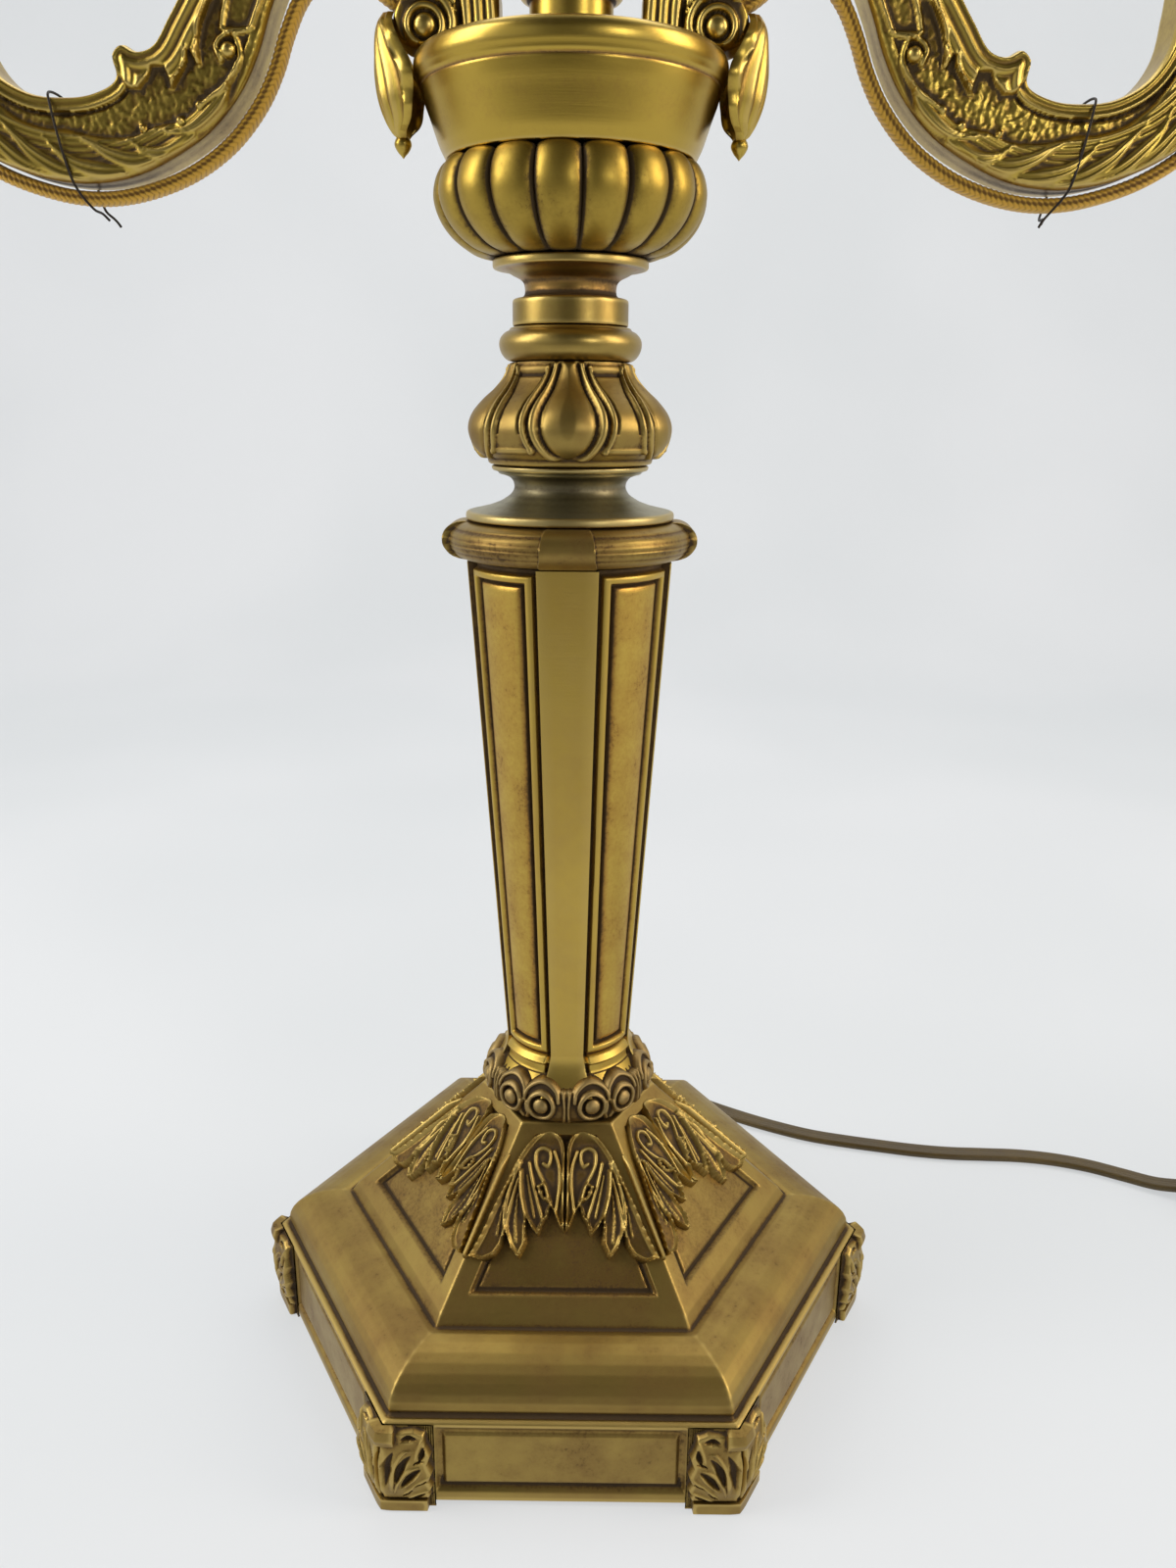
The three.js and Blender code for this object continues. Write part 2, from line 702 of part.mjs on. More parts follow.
// Arm: S-scroll plate, its two edges through chosen points, with the cord's way cut through its root
function armOutline() {
  const under = [[38, armFoot + 2.8], [42.6, armFoot + 4.6], [44.2, armFoot + 9.4], [42.6, armFoot + 13.6],
    [40.8, armFoot + 17], [44, armFoot + 23], [50.5, armFoot + 27], [58, armFoot + 28], [65, armFoot + 25],
    [70, armFoot + 20.2], [74.3, armFoot + 11.8], [78.2, armFoot + 2], [82.8, armFoot - 6.2],
    [91.2, armFoot - 15.4], [102.2, armFoot - 22.3], [113, armFoot - 26.6], [124, armFoot - 28.1],
    [134.5, armFoot - 27.1], [144.8, armFoot - 24], [154.4, armFoot - 18.8], [162.6, armFoot - 10.6],
    [167.8, armFoot + 0.2], [170, armFoot + 12], [169.4, armFoot + 24], [168.2, armTop - 6]];
  const hollow = [[152.8, armTop - 6], [151.2, armFoot + 27], [150.4, armFoot + 14], [149, armFoot + 4],
    [144.4, armFoot - 3.2], [137, armFoot - 7.4], [129, armFoot - 8.4], [120.8, armFoot - 7.5],
    [114.6, armFoot - 4.2], [114.8, armFoot + 0.8], [112, armFoot + 3.4], [108.6, armFoot + 1.9],
    [104.4, armFoot + 3], [99.8, armFoot + 9.2], [95.6, armFoot + 15.4], [89, armFoot + 25],
    [80, armFoot + 35.6], [69, armFoot + 43.6], [56, armFoot + 47], [42, armFoot + 45],
    [30, armFoot + 38], [21.6, armFoot + 27.6], [17.8, armFoot + 16]];
  const vectors = (list) => list.map(([x, z]) => new THREE.Vector2(along(x), z));
  const shape = new THREE.Shape();
  shape.moveTo(17.5, armFoot);
  shape.lineTo(34.6, armFoot);
  shape.lineTo(34.6, armFoot + 2.8);
  shape.lineTo(38, armFoot + 2.8);
  shape.splineThru(vectors(under.slice(1)));
  const end = hollow[0][0];
  shape.lineTo(along(168.2), armTop);
  shape.lineTo(along(end), armTop);
  shape.lineTo(along(end), armTop - 6);
  shape.splineThru(vectors(hollow.slice(1)));
  shape.closePath();
  return shape;
}

function armBody() {
  const round = 1.6;
  const settings = {
    depth: armWidth - 2 * round, bevelEnabled: true, bevelThickness: round, bevelSize: round,
    bevelOffset: -round, bevelSegments: 1, curveSegments: 1,
  };
  const plate = new THREE.ExtrudeGeometry(armOutline(), settings)
    .translate(0, 0, -(armWidth / 2 - round))
    .rotateX(Math.PI / 2);
  const studHole = rod(studRadius + 0.4, armTop - studDepth - 1, armTop + 2).translate(cupReach, 0, 0);
  const screwHole = rod(armScrewRadius + gap, armFoot - 1, armFoot + 7, 12).translate(armScrewReach, 0, 0);
  return cut(plate, [cordWay(1.8), studHole, screwHole]);
}

// Leaf that hangs from the scroll over the urn's rim: reach, height, half width and curl of each row
function scrollLeaf() {
  const spine = [[47.2, armFoot + 11, 5.5, 0.3], [48.4, armFoot + 8.6, 8, 0.3], [49.2, armFoot + 4, 10.5, 0.5],
    [49.4, armFoot - 2, 11.5, 0.74], [48.6, armFoot - 8, 10.5, 0.74], [46.6, armFoot - 13.6, 7.5, 0.7],
    [44.6, armFoot - 17.4, 3.4, 0.4], [44.2, armFoot - 20, 1.6, 0.2]];
  const thickness = 1.9;
  const rings = spine.map(([x, z, half, curl]) => {
    const across = [-1, -0.6, 0, 0.6, 1];
    const bend = (share) => curl * half * share * share;
    const place = (share, inset) => new THREE.Vector3(x - bend(share) - inset, share * half, z);
    const row = (shares, inset) => shares.map((share) => place(share, inset));
    return [...row(across, 0), ...row(across.toReversed(), thickness)];
  });
  return loft(rings);
}

// Wire that ties the cord to the arm, with its two loose ends below
function tieWire() {
  const half = armWidth / 2 + 0.8;
  const low = armFoot - 33.6;
  const high = armFoot - 7.6;
  const points = [[118.5, -7, low - 6.5], [121, -5.6, low - 2.5], [124, -4.2, low], [127, -half, low + 5],
    [131, -half, high - 3], [132, -6, high], [132, 6, high], [131, half, high - 3], [127, half, low + 5],
    [124.4, 4, low - 0.2], [123.8, -1, low - 0.9], [121.6, -3.6, low - 4.4]];
  const section = ellipse(2 * wireRadius, 2 * wireRadius, 4);
  return swept(curve(points.map(([x, y, z]) => [along(x), y, z])), section, 28);
}

const coverHoles = [];
for (const [side, turn] of [['right', 0], ['left', Math.PI]]) {
  const placed = (geometry) => geometry.rotateZ(turn);
  piece(`${side}_arm`, placed(armBody()), brass);
  piece(`${side}_scroll_leaf`, placed(scrollLeaf()), brass);
  piece(`${side}_arm_cord`, placed(armCord()), braid);
  piece(`${side}_tie_wire`, placed(tieWire()), darkWire);
  const screw = joined([
    rod(armScrewRadius + 0.8, coverLow - 3, coverLow - gap, 12),
    rod(armScrewRadius, coverLow - 1, armFoot + 6, 12),
  ]).translate(armScrewReach, 0, 0);
  piece(`${side}_arm_screw`, placed(screw), steel);
  coverHoles.push(placed(cordWay(1.4)));
  const screwHole = rod(armScrewRadius + gap, coverLow - 1, coverTop + 1, 12).translate(armScrewReach, 0, 0);
  coverHoles.push(placed(screwHole));
}

piece('urn_cover', cut(turned([
  [pipeHole, coverLow],
  [coverRadius, coverLow],
  [coverRadius, coverTop],
  [pipeHole, coverTop],
], 22), coverHoles), brass);

// Centre tube with its ring, and the cap that screws on the pipe and clamps the stack
const tubeLow = coverTop + gap;
const tubeTop = tubeLow + tubeHeight;
const tubeRing = tubeLow + 14.6;
piece('centre_tube', turned([
  [tubeRadius - tubeWall, tubeLow],
  [tubeRadius, tubeLow],
  [tubeRadius, tubeRing],
  [tubeRadius + 2.4, tubeRing + 0.8],
  [tubeRadius + 3, tubeRing + 3],
  [tubeRadius + 2.4, tubeRing + 5.2],
  [tubeRadius, tubeRing + 6],
  [tubeRadius, tubeTop],
  [tubeRadius - tubeWall, tubeTop],
]), polished);

const capLow = tubeTop + gap;
const capTop = capLow + stemCapHeight;
piece('stem_cap', turned([
  [pipeHole, capLow - 5],
  [tubeRadius - tubeWall - gap, capLow - 5],
  [tubeRadius - tubeWall - gap, capLow],
  [14.5, capLow],
  [16.2, capLow + 2.4],
  [14.5, capLow + 4.8],
  [11, capLow + 6.4],
  [10, capLow + 10],
  [13.2, capLow + 13.6],
  [13.2, capTop],
  [studRadius + 0.4, capTop],
  [studRadius + 0.4, capTop - studDepth - 0.5],
  [pipeHole, capTop - studDepth - 0.5],
], 14), polished);

// Threaded pipe through the whole stack, with the nut and washer inside the base
const pipeLow = baseTop - 24;
const leadHole = coverLow - 8;
const pipe = turned([[pipeBore, pipeLow], [pipeRadius, pipeLow], [pipeRadius, capTop - studDepth - 1],
  [pipeBore, capTop - studDepth - 1]]);
const sideHole = new THREE.CylinderGeometry(3, 3, 12, 12).scale(1, 1, 2.4).translate(0, 6, leadHole - 1.5);
piece('lamp_pipe', cut(pipe, [sideHole]), steel);
piece('pipe_washer', turned([
  [pipeHole, baseTop - 9.3],
  [14, baseTop - 9.3],
  [14, baseTop - 7.3],
  [pipeHole, baseTop - 7.3],
]), steel);
const nutBody = rod(12.5, baseTop - 18, baseTop - 9.6, 6);
piece('pipe_nut', cut(nutBody, [rod(pipeHole, baseTop - 20, baseTop - 8)]), brass);

// Lead inside the lamp, from the cord bushing to the terminal block in the urn
const leadEnd = 12;
const rearWall = plinthCorner * apothem;
const innerLead = curve([[0, rearWall - plinthWall - 6, cordExit], [0, 62, cordExit], [0, 40, 9], [0, 20, 16],
  [0, 6, 34], [0, 0.6, 52], [0, 0, 68], [0, 0, leadHole * 0.33],
  [0, 0, leadHole * 0.66], [0, 0, leadHole - 26], [0, 0, leadHole - 12], [0, 1.4, leadHole - 5],
  [0, 6, leadHole - 0.6], [0, leadEnd, leadHole]]);
piece('inner_lead', swept(innerLead, ellipse(4, 4, 6), 28), brownPlastic);
piece('terminal_block', block(16, 9, 10, 0, leadEnd + gap + 4.5, leadHole), paleResin);

// Candle lights: pan, cup, sleeve, holder and bulb on each arm and on the centre
function dripPan() {
  return turned([[studRadius + 0.4, gap], [10, gap], [26, 2.8], [panRadius, 4.4], [panRadius - 0.7, 5],
    [25.4, 4.2], [10, 2], [studRadius + 0.4, 2]], 14);
}

function candleCup() {
  return turned([[studRadius + 0.4, 2 + gap], [7, 2 + gap], [9, 4.5], [6.8, 8], [cupRadius - 4.2, 13],
    [cupRadius - 1.8, 18], [cupRadius - 2.2, 23], [cupRadius, cupHeight - 1],
    [cupRadius, cupHeight], [sleeveRadius + gap, cupHeight],
    [sleeveRadius + gap, cupFloor], [studRadius + 0.4, cupFloor]], 14);
}

function candleSleeve() {
  const low = cupFloor + gap;
  return turned([[sleeveRadius - sleeveWall, low], [sleeveRadius, low], [sleeveRadius, low + sleeveHeight],
    [sleeveRadius - sleeveWall, low + sleeveHeight]], 14);
}

function lampholder() {
  const low = cupFloor + gap;
  return turned([[0, -studDepth], [studRadius, -studDepth], [studRadius, low], [8, low], [8, low + 7],
    [6.9, low + 10], [6.9, low + 31], [holderRadius, low + 33], [holderRadius, low + 61],
    [socketRadius, low + 61], [socketRadius, low + 41], [0, low + 41]], 12);
}

function candleBulb() {
  const low = cupFloor + gap + 42;
  const capRadius = socketRadius - 0.9;
  return turned([[0, low], [capRadius, low + 2], [capRadius, low + 19.6], [11.5, low + 27], [15.5, low + 36],
    [bulbRadius, low + 45], [15.4, low + 57], [8.6, low + 70], [2.6, low + 80], [0, bulbHeight]], 12);
}

for (const [name, x, z] of
  [['right', cupReach, armTop], ['left', -cupReach, armTop], ['centre', 0, capTop]]) {
  piece(`${name}_drip_pan`, dripPan(), polished, [x, 0, z]);
  piece(`${name}_candle_cup`, candleCup(), polished, [x, 0, z]);
  piece(`${name}_candle_sleeve`, candleSleeve(), ivory, [x, 0, z]);
  piece(`${name}_lampholder`, lampholder(), paleResin, [x, 0, z]);
  piece(`${name}_bulb`, candleBulb(), opal, [x, 0, z]);
}

// Bushing in the plinth's rear wall, with the tapered strain relief outside
const bushing = turned([
  [0, -6],
  [6.6, -6],
  [6.6, -gap],
  [5, -gap],
  [5, plinthWall],
  [6.2, plinthWall + gap],
  [6.2, plinthWall + 2],
  [4.6, plinthWall + bushingLength],
  [0, plinthWall + bushingLength],
], 14);
bushing.rotateX(-Math.PI / 2).translate(0, rearWall - plinthWall, cordExit);
piece('cord_bushing', bushing, brownPlastic);

// Mains cord on the table: its way from the bushing to the switch, chosen by hand
const cordStart = rearWall + bushingLength + gap;
const switchHeading = THREE.MathUtils.degToRad(-31.7);
const switchPlace = new THREE.Vector2(272.2, 40.3);
const alongSwitch = new THREE.Vector2(Math.cos(switchHeading), Math.sin(switchHeading));
const switchEnd = (side) => switchPlace.clone().addScaledVector(alongSwitch, side * (switchLength / 2 + gap));
const beforeSwitch = (reach) => [...switchEnd(-1).addScaledVector(alongSwitch, -reach).toArray(), switchCord];
const mainsPoints = [[0, cordStart, cordExit], [0, cordStart + 3, cordExit], [1, cordStart + 8, 10.6],
  [4.5, cordStart + 15, 7.8], [10.4, cordStart + 21.6, 4.8], [18.4, cordStart + 25.6, 2.7],
  [27.4, cordStart + 26, cordRest],
  [36.4, 132.4, cordRest], [45, 127, cordRest], [57.3, 117.8, cordRest], [73.3, 107.8, cordRest],
  [87.1, 100.6, cordRest], [100.5, 94.9, cordRest], [114.5, 91, cordRest], [128.1, 87.9, cordRest],
  [141.7, 85.1, cordRest], [155.7, 83.3, cordRest], [170, 82.7, cordRest], [184, 82, cordRest],
  [197, 79.8, cordRest], [210, 75.6, cordRest], [222, 69.6, cordRest], [232, 63.6, cordRest + 0.6],
  beforeSwitch(8), beforeSwitch(0)];
piece('mains_cord', flatCord(curve(mainsPoints), cordWidth, cordThickness, 36), brownPlastic);

// Inline switch: two-ended housing with a slot for the thumb wheel, and the wheel on its pin
function inSwitchFrame(geometry) {
  return geometry.rotateZ(switchHeading).translate(switchPlace.x, switchPlace.y, 0);
}

const wheelMiddle = switchHeight / 2 + 1.2;
const wheelOffset = switchWidth / 2 + wheelReach - wheelRadius;

function switchHousing() {
  const half = switchLength / 2;
  const wide = switchWidth / 2;
  const outline = new THREE.Shape();
  outline.moveTo(-half, -4.2);
  outline.bezierCurveTo(-half + 8, -5, -half + 9, -wide, -half + 17, -wide);
  outline.lineTo(half - 17, -wide);
  outline.bezierCurveTo(half - 9, -wide, half - 8, -5, half, -4.2);
  outline.lineTo(half, 4.2);
  outline.bezierCurveTo(half - 8, 5, half - 9, wide, half - 17, wide);
  outline.lineTo(-half + 17, wide);
  outline.bezierCurveTo(-half + 9, wide, -half + 8, 5, -half, 4.2);
  const round = 1.8;
  const body = new THREE.ExtrudeGeometry(outline, {
    depth: switchHeight - 2 * round, bevelEnabled: true, bevelThickness: round, bevelSize: round,
    bevelOffset: -round, bevelSegments: 1, curveSegments: 4,
  }).translate(0, 0, round);
  const upright = (radius, room, sides) => rod(radius, wheelMiddle - wheelThickness / 2 - room,
    wheelMiddle + wheelThickness / 2 + room, sides).translate(0, wheelOffset, 0);
  const slot = upright(wheelRadius + 0.5, gap, 32);
  const pin = upright(pinRadius, 1, 24);
  return joined([cut(body, [slot]), pin]);
}

function thumbWheel() {
  const teeth = 15;
  const outline = new THREE.Shape(ring(teeth * 2, (i) => {
    const turn = (i / (teeth * 2)) * 2 * Math.PI;
    const radius = i % 2 === 0 ? wheelRadius : wheelRadius - 0.6;
    return new THREE.Vector2(radius * Math.cos(turn), radius * Math.sin(turn));
  }));
  outline.holes.push(new THREE.Path().absarc(0, 0, pinRadius + 0.1, 0, 2 * Math.PI, true));
  return new THREE.ExtrudeGeometry(outline, { depth: wheelThickness, bevelEnabled: false, curveSegments: 24 })
    .translate(0, wheelOffset, wheelMiddle - wheelThickness / 2);
}

piece('switch_housing', inSwitchFrame(switchHousing()), brownPlastic);
piece('switch_wheel', inSwitchFrame(thumbWheel()), brownPlastic);

// Coil of the unseen length: it spirals in, climbs a layer in half a turn, and spirals out on top
const coilEntry = switchEnd(1).addScaledVector(alongSwitch, 42);
const coilCentre = new THREE.Vector2(
  coilEntry.x + coilRadius * Math.sin(switchHeading),
  coilEntry.y - coilRadius * Math.cos(switchHeading),
);
const entryAngle = Math.PI / 2 + switchHeading;
const climbTurns = 0.5;
const coilWhole = 2 * coilTurns + climbTurns;

function coilPoint(turns) {
  const inward = Math.min(turns, coilTurns);
  const outward = Math.max(0, turns - coilTurns - climbTurns);
  const climb = THREE.MathUtils.clamp((turns - coilTurns) / climbTurns, 0, 1);
  const radius = coilRadius - coilPitch * (inward - outward);
  const angle = entryAngle - turns * 2 * Math.PI;
  const height = cordRest + coilLayer * (1 - Math.cos(climb * Math.PI)) / 2;
  return { radius, angle, height };
}

function coilRing(turns) {
  const { radius, angle, height } = coilPoint(turns);
  const section = [[3.5, 0], [2.3, 1.85], [-2.3, 1.85], [-3.5, 0], [-2.3, -1.85], [2.3, -1.85]];
  return section.map(([across, rise]) => new THREE.Vector3(
    coilCentre.x + (radius + across * (cordWidth / 7)) * Math.cos(angle),
    coilCentre.y + (radius + across * (cordWidth / 7)) * Math.sin(angle),
    height + rise * (cordThickness / 3.7),
  ));
}

const coilCount = Math.round(coilWhole * coilSteps);
const coilRings = ring(coilCount + 1, (i) => coilRing((i / coilCount) * coilWhole));

// Least distance between points of the coil that lie more than half a turn apart along it
function leastGap(rings) {
  let least = Infinity;
  for (let i = 0; i < rings.length; i += 1) {
    for (let j = i + coilSteps / 2; j < rings.length; j += 1) {
      for (const a of rings[i]) {
        for (const b of rings[j]) least = Math.min(least, a.distanceTo(b));
      }
    }
  }
  return least;
}

console.log(`coil: least gap to itself ${leastGap(coilRings).toFixed(2)} mm`);
piece('cord_coil', loft(coilRings), brownPlastic);

// Short stretches: from the switch into the coil, and from the coil to the plug
const coilIn = new THREE.Vector2(coilEntry.x, coilEntry.y).addScaledVector(alongSwitch, -gap);
const leadIn = curve([[...switchEnd(1).toArray(), switchCord],
  [...switchEnd(1).addScaledVector(alongSwitch, 9).toArray(), switchCord - 0.9],
  [...switchEnd(1).addScaledVector(alongSwitch, 20).toArray(), cordRest + 0.3],
  [...switchEnd(1).addScaledVector(alongSwitch, 30).toArray(), cordRest], [coilIn.x, coilIn.y, cordRest]]);
piece('cord_to_coil', flatCord(leadIn, cordWidth, cordThickness, 8), brownPlastic);

const coilOut = coilPoint(coilWhole);
const outPlace = new THREE.Vector2(Math.cos(coilOut.angle), Math.sin(coilOut.angle))
  .multiplyScalar(coilOut.radius)
  .add(coilCentre);
const outHeading = new THREE.Vector2(Math.sin(coilOut.angle), -Math.cos(coilOut.angle));
const plugRear = 44;
const plugCord = plugHeight / 2;
const onTail = (reach, height) => [...outPlace.clone().addScaledVector(outHeading, reach).toArray(), height];
const tail = curve([onTail(gap, coilOut.height), onTail(12, coilOut.height), onTail(26, coilOut.height - 0.2),
  onTail(36, plugCord - 0.3), onTail(plugRear, plugCord)]);
piece('cord_to_plug', flatCord(tail, cordWidth, cordThickness, 10), brownPlastic);

// Two-blade plug, lying flat
function plug() {
  const wide = plugWidth / 2;
  const outline = new THREE.Shape();
  outline.moveTo(0, -4.4);
  outline.bezierCurveTo(10, -5, 10, -wide, 18, -wide);
  outline.lineTo(plugLength, -wide);
  outline.lineTo(plugLength, wide);
  outline.lineTo(18, wide);
  outline.bezierCurveTo(10, wide, 10, 5, 0, 4.4);
  const round = 1.4;
  const body = new THREE.ExtrudeGeometry(outline, {
    depth: plugHeight - 2 * round, bevelEnabled: true, bevelThickness: round, bevelSize: round,
    bevelOffset: -round, bevelSegments: 1, curveSegments: 4,
  }).translate(0, 0, round);
  const bladeMiddle = plugLength + bladeLength / 2 - 3;
  const blade = (side) => block(bladeLength + 6, 1.5, 6.4)
    .translate(bladeMiddle, (side * bladeSpacing) / 2, plugHeight / 2);
  return joined([body, blade(-1), blade(1)]);
}

const plugPlace = onTail(plugRear + gap, 0);
piece('plug', plug().rotateZ(Math.atan2(outHeading.y, outHeading.x)).translate(...plugPlace), brownPlastic);

export default lamp;
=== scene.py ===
"""Candelabra table lamp in cast and turned brass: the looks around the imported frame, +Z up.

Sizes in this file are in millimetres unless a name says otherwise, and become metres in one place,
where a mesh is made. Angles in degrees are measured from the front, -Y, towards +X.
"""
import json
import logging
import math
from dataclasses import dataclass, field
from enum import Enum
from typing import Any, Iterable, Sequence

import bpy
import numpy as np
from mathutils import Matrix, Vector

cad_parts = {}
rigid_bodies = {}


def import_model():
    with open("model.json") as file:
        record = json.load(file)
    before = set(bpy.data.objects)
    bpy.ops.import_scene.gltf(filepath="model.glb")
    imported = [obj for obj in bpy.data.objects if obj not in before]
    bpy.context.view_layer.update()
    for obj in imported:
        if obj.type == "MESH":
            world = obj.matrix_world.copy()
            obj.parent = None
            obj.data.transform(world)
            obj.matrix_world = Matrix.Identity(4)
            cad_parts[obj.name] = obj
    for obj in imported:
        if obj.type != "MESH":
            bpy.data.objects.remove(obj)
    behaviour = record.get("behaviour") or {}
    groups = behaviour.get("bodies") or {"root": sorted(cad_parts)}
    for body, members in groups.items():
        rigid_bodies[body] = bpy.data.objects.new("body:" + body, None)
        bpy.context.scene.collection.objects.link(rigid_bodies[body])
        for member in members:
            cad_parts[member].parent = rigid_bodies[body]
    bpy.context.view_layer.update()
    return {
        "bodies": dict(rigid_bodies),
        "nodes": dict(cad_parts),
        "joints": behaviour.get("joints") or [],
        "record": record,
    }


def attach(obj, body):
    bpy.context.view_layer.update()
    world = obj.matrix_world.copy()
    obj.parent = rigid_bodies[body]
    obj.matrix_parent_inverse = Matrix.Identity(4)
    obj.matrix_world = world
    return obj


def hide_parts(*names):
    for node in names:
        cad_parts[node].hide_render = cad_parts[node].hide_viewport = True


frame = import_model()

MM = 0.001
Array = np.ndarray
Line = Sequence[tuple[float, ...]]
LOG = logging.getLogger("lamp")
RNG = np.random.default_rng(11)


SIDES = (("right", 0), ("left", 180))


def dots(text: str) -> tuple[tuple[float, ...], ...]:
    """Points written as numbers, with a comma between two points."""
    return tuple(tuple(map(float, point.split())) for point in text.split(","))


def unit(vectors: Array) -> Array:
    """Vectors brought to length one."""
    return vectors / np.maximum(np.linalg.norm(vectors, axis=1, keepdims=True), 1e-9)


def smooth_step(values: Array, low: float, high: float) -> Array:
    """Share of each value between two limits, from 0 at low to 1 at high, with level ends."""
    share = np.clip((np.asarray(values, float) - low) / (high - low), 0.0, 1.0)
    return share * share * (3.0 - 2.0 * share)


def spline(points: Line, count: int, closed: bool = False) -> Array:
    """Evenly spaced points on a centripetal curve through some points.

    Args:
        points: Points that the curve passes.
        count: Number of points to give back.
        closed: Whether the curve returns to its start.
    Returns:
        Points, count by dimensions.
    """
    fixed = np.asarray(points, float)
    if closed:
        fixed = np.vstack([fixed[-1:], fixed, fixed[:2]])
    else:
        fixed = np.vstack([2 * fixed[0] - fixed[1], fixed, 2 * fixed[-1] - fixed[-2]])
    dense = []
    share = np.linspace(0.0, 1.0, 24, endpoint=False)[:, None]
    for p0, p1, p2, p3 in zip(fixed, fixed[1:], fixed[2:], fixed[3:]):
        d0, d1, d2 = (max(np.linalg.norm(b - a) ** 0.5, 1e-4) for a, b in ((p0, p1), (p1, p2), (p2, p3)))
        out = ((p1 - p0) / d0 - (p2 - p0) / (d0 + d1) + (p2 - p1) / d1) * d1
        back = ((p2 - p1) / d1 - (p3 - p1) / (d1 + d2) + (p3 - p2) / d2) * d1
        dense.append(p1 + out * share + (3 * (p2 - p1) - 2 * out - back) * share**2
                     + (2 * (p1 - p2) + out + back) * share**3)
    dense.append(fixed[-2:-1])
    return respaced(np.vstack(dense), count)


def respaced(points: Array, count: int) -> Array:
    """Points along a polyline, the same distance apart.

    Args:
        points: Polyline.
        count: Number of points to give back.
    Returns:
        Points, count by dimensions.
    """
    steps = np.linalg.norm(np.diff(points, axis=0), axis=1)
    length = np.concatenate([[0.0], np.cumsum(steps)])
    wanted = np.linspace(0.0, length[-1], count)
    return np.stack([np.interp(wanted, length, axis) for axis in points.T], axis=1)


def rounded(outline: Line, radius: float, closed: bool = False, steps: int = 4) -> Array:
    """Polyline whose corners are eased.

    Args:
        outline: Corner points.
        radius: Longest stretch that a corner may take from each edge.
        closed: Whether the last point joins the first.
        steps: Points per corner.
    Returns:
        Points of the eased polyline.
    """
    corners = np.asarray(outline, float)
    eased = []
    for index, corner in enumerate(corners):
        if not closed and index in (0, len(corners) - 1):
            eased.append(corner)
            continue
        before, after = corners[index - 1], corners[(index + 1) % len(corners)]
        reach = [min(radius, 0.42 * np.linalg.norm(end - corner)) for end in (before, after)]
        start = corner + (before - corner) / max(np.linalg.norm(before - corner), 1e-9) * reach[0]
        finish = corner + (after - corner) / max(np.linalg.norm(after - corner), 1e-9) * reach[1]
        for share in np.linspace(0.0, 1.0, steps):
            eased.append(start * (1 - share) ** 2 + 2 * corner * share * (1 - share) + finish * share**2)
    return np.array(eased)


def densified(points: Array, pitch: float, closed: bool = False) -> Array:
    """Polyline with extra points wherever two are further apart than a pitch.

    Args:
        points: Polyline.
        pitch: Longest step that stays.
        closed: Whether the last point joins the first.
    Returns:
        Points of the finer polyline.
    """
    finer = []
    ends = np.vstack([points[1:], points[:1]]) if closed else points[1:]
    for start, end in zip(points, ends):
        parts = max(1, math.ceil(np.linalg.norm(end - start) / pitch))
        finer.extend(start + (end - start) * step / parts for step in range(parts))
    if not closed:
        finer.append(points[-1])
    return np.array(finer)


def hollowness(profile: Array, closed: bool, reach: float = 1.6, depth: float = 0.3) -> Array:
    """How far each point of a profile lies in a hollow, from -1 on an edge to 1 in a groove.

    Args:
        profile: Points in the order that keeps the outside on the right.
        closed: Whether the profile returns to its start.
        reach: Distance along the profile that counts as its neighbourhood.
        depth: Depth that counts as a full groove.
    Returns:
        One value for each point.
    """
    ring = np.vstack([profile[-40:], profile, profile[:40]]) if closed else profile
    steps = np.linalg.norm(np.diff(ring, axis=0), axis=1)
    length = np.concatenate([[0.0], np.cumsum(steps)])
    middle = np.zeros_like(ring)
    offsets = np.linspace(-reach, reach, 9)
    for offset in offsets:
        middle += np.stack([np.interp(length + offset, length, axis) for axis in ring.T], axis=1)
    tangent = unit(np.gradient(ring, axis=0))
    outward = np.stack([tangent[:, 1], -tangent[:, 0]], axis=1)
    value = np.clip(((middle / len(offsets) - ring) * outward).sum(axis=1) / depth, -1.0, 1.0)
    return value[40:-40] if closed else value


def segment_distance(u: Array, v: Array, line: Array) -> tuple[Array, Array]:
    """Distance from each place to a polyline, and how far along the line the nearest point is.

    Args:
        u: First coordinates.
        v: Second coordinates.
        line: Polyline, points by two.
    Returns:
        Distances, and shares of the line's length.
    """
    best = np.full(u.shape, 1e9)
    along = np.zeros(u.shape)
    steps = np.linalg.norm(np.diff(line, axis=0), axis=1)
    total = max(steps.sum(), 1e-9)
    done = 0.0
    for start, end, step in zip(line, line[1:], steps):
        if step < 1e-9:
            continue
        direction = (end - start) / step
        reach = np.clip((u - start[0]) * direction[0] + (v - start[1]) * direction[1], 0.0, step)
        far = np.hypot(u - start[0] - reach * direction[0], v - start[1] - reach * direction[1])
        nearer = far < best
        best = np.where(nearer, far, best)
        along = np.where(nearer, (done + reach) / total, along)
        done += step
    return best, along


def inside(u: Array, v: Array, outline: Array) -> Array:
    """Which places lie inside a closed outline.

    Args:
        u: First coordinates.
        v: Second coordinates.
        outline: Corners, points by two.
    Returns:
        Array of booleans.
    """
    within = np.zeros(u.shape, bool)
    for (u0, v0), (u1, v1) in zip(outline, np.roll(outline, -1, axis=0)):
        if v0 == v1:
            continue
        crosses = (v0 > v) != (v1 > v)
        within ^= crosses & (u < (u1 - u0) * (v - v0) / (v1 - v0) + u0)
    return within


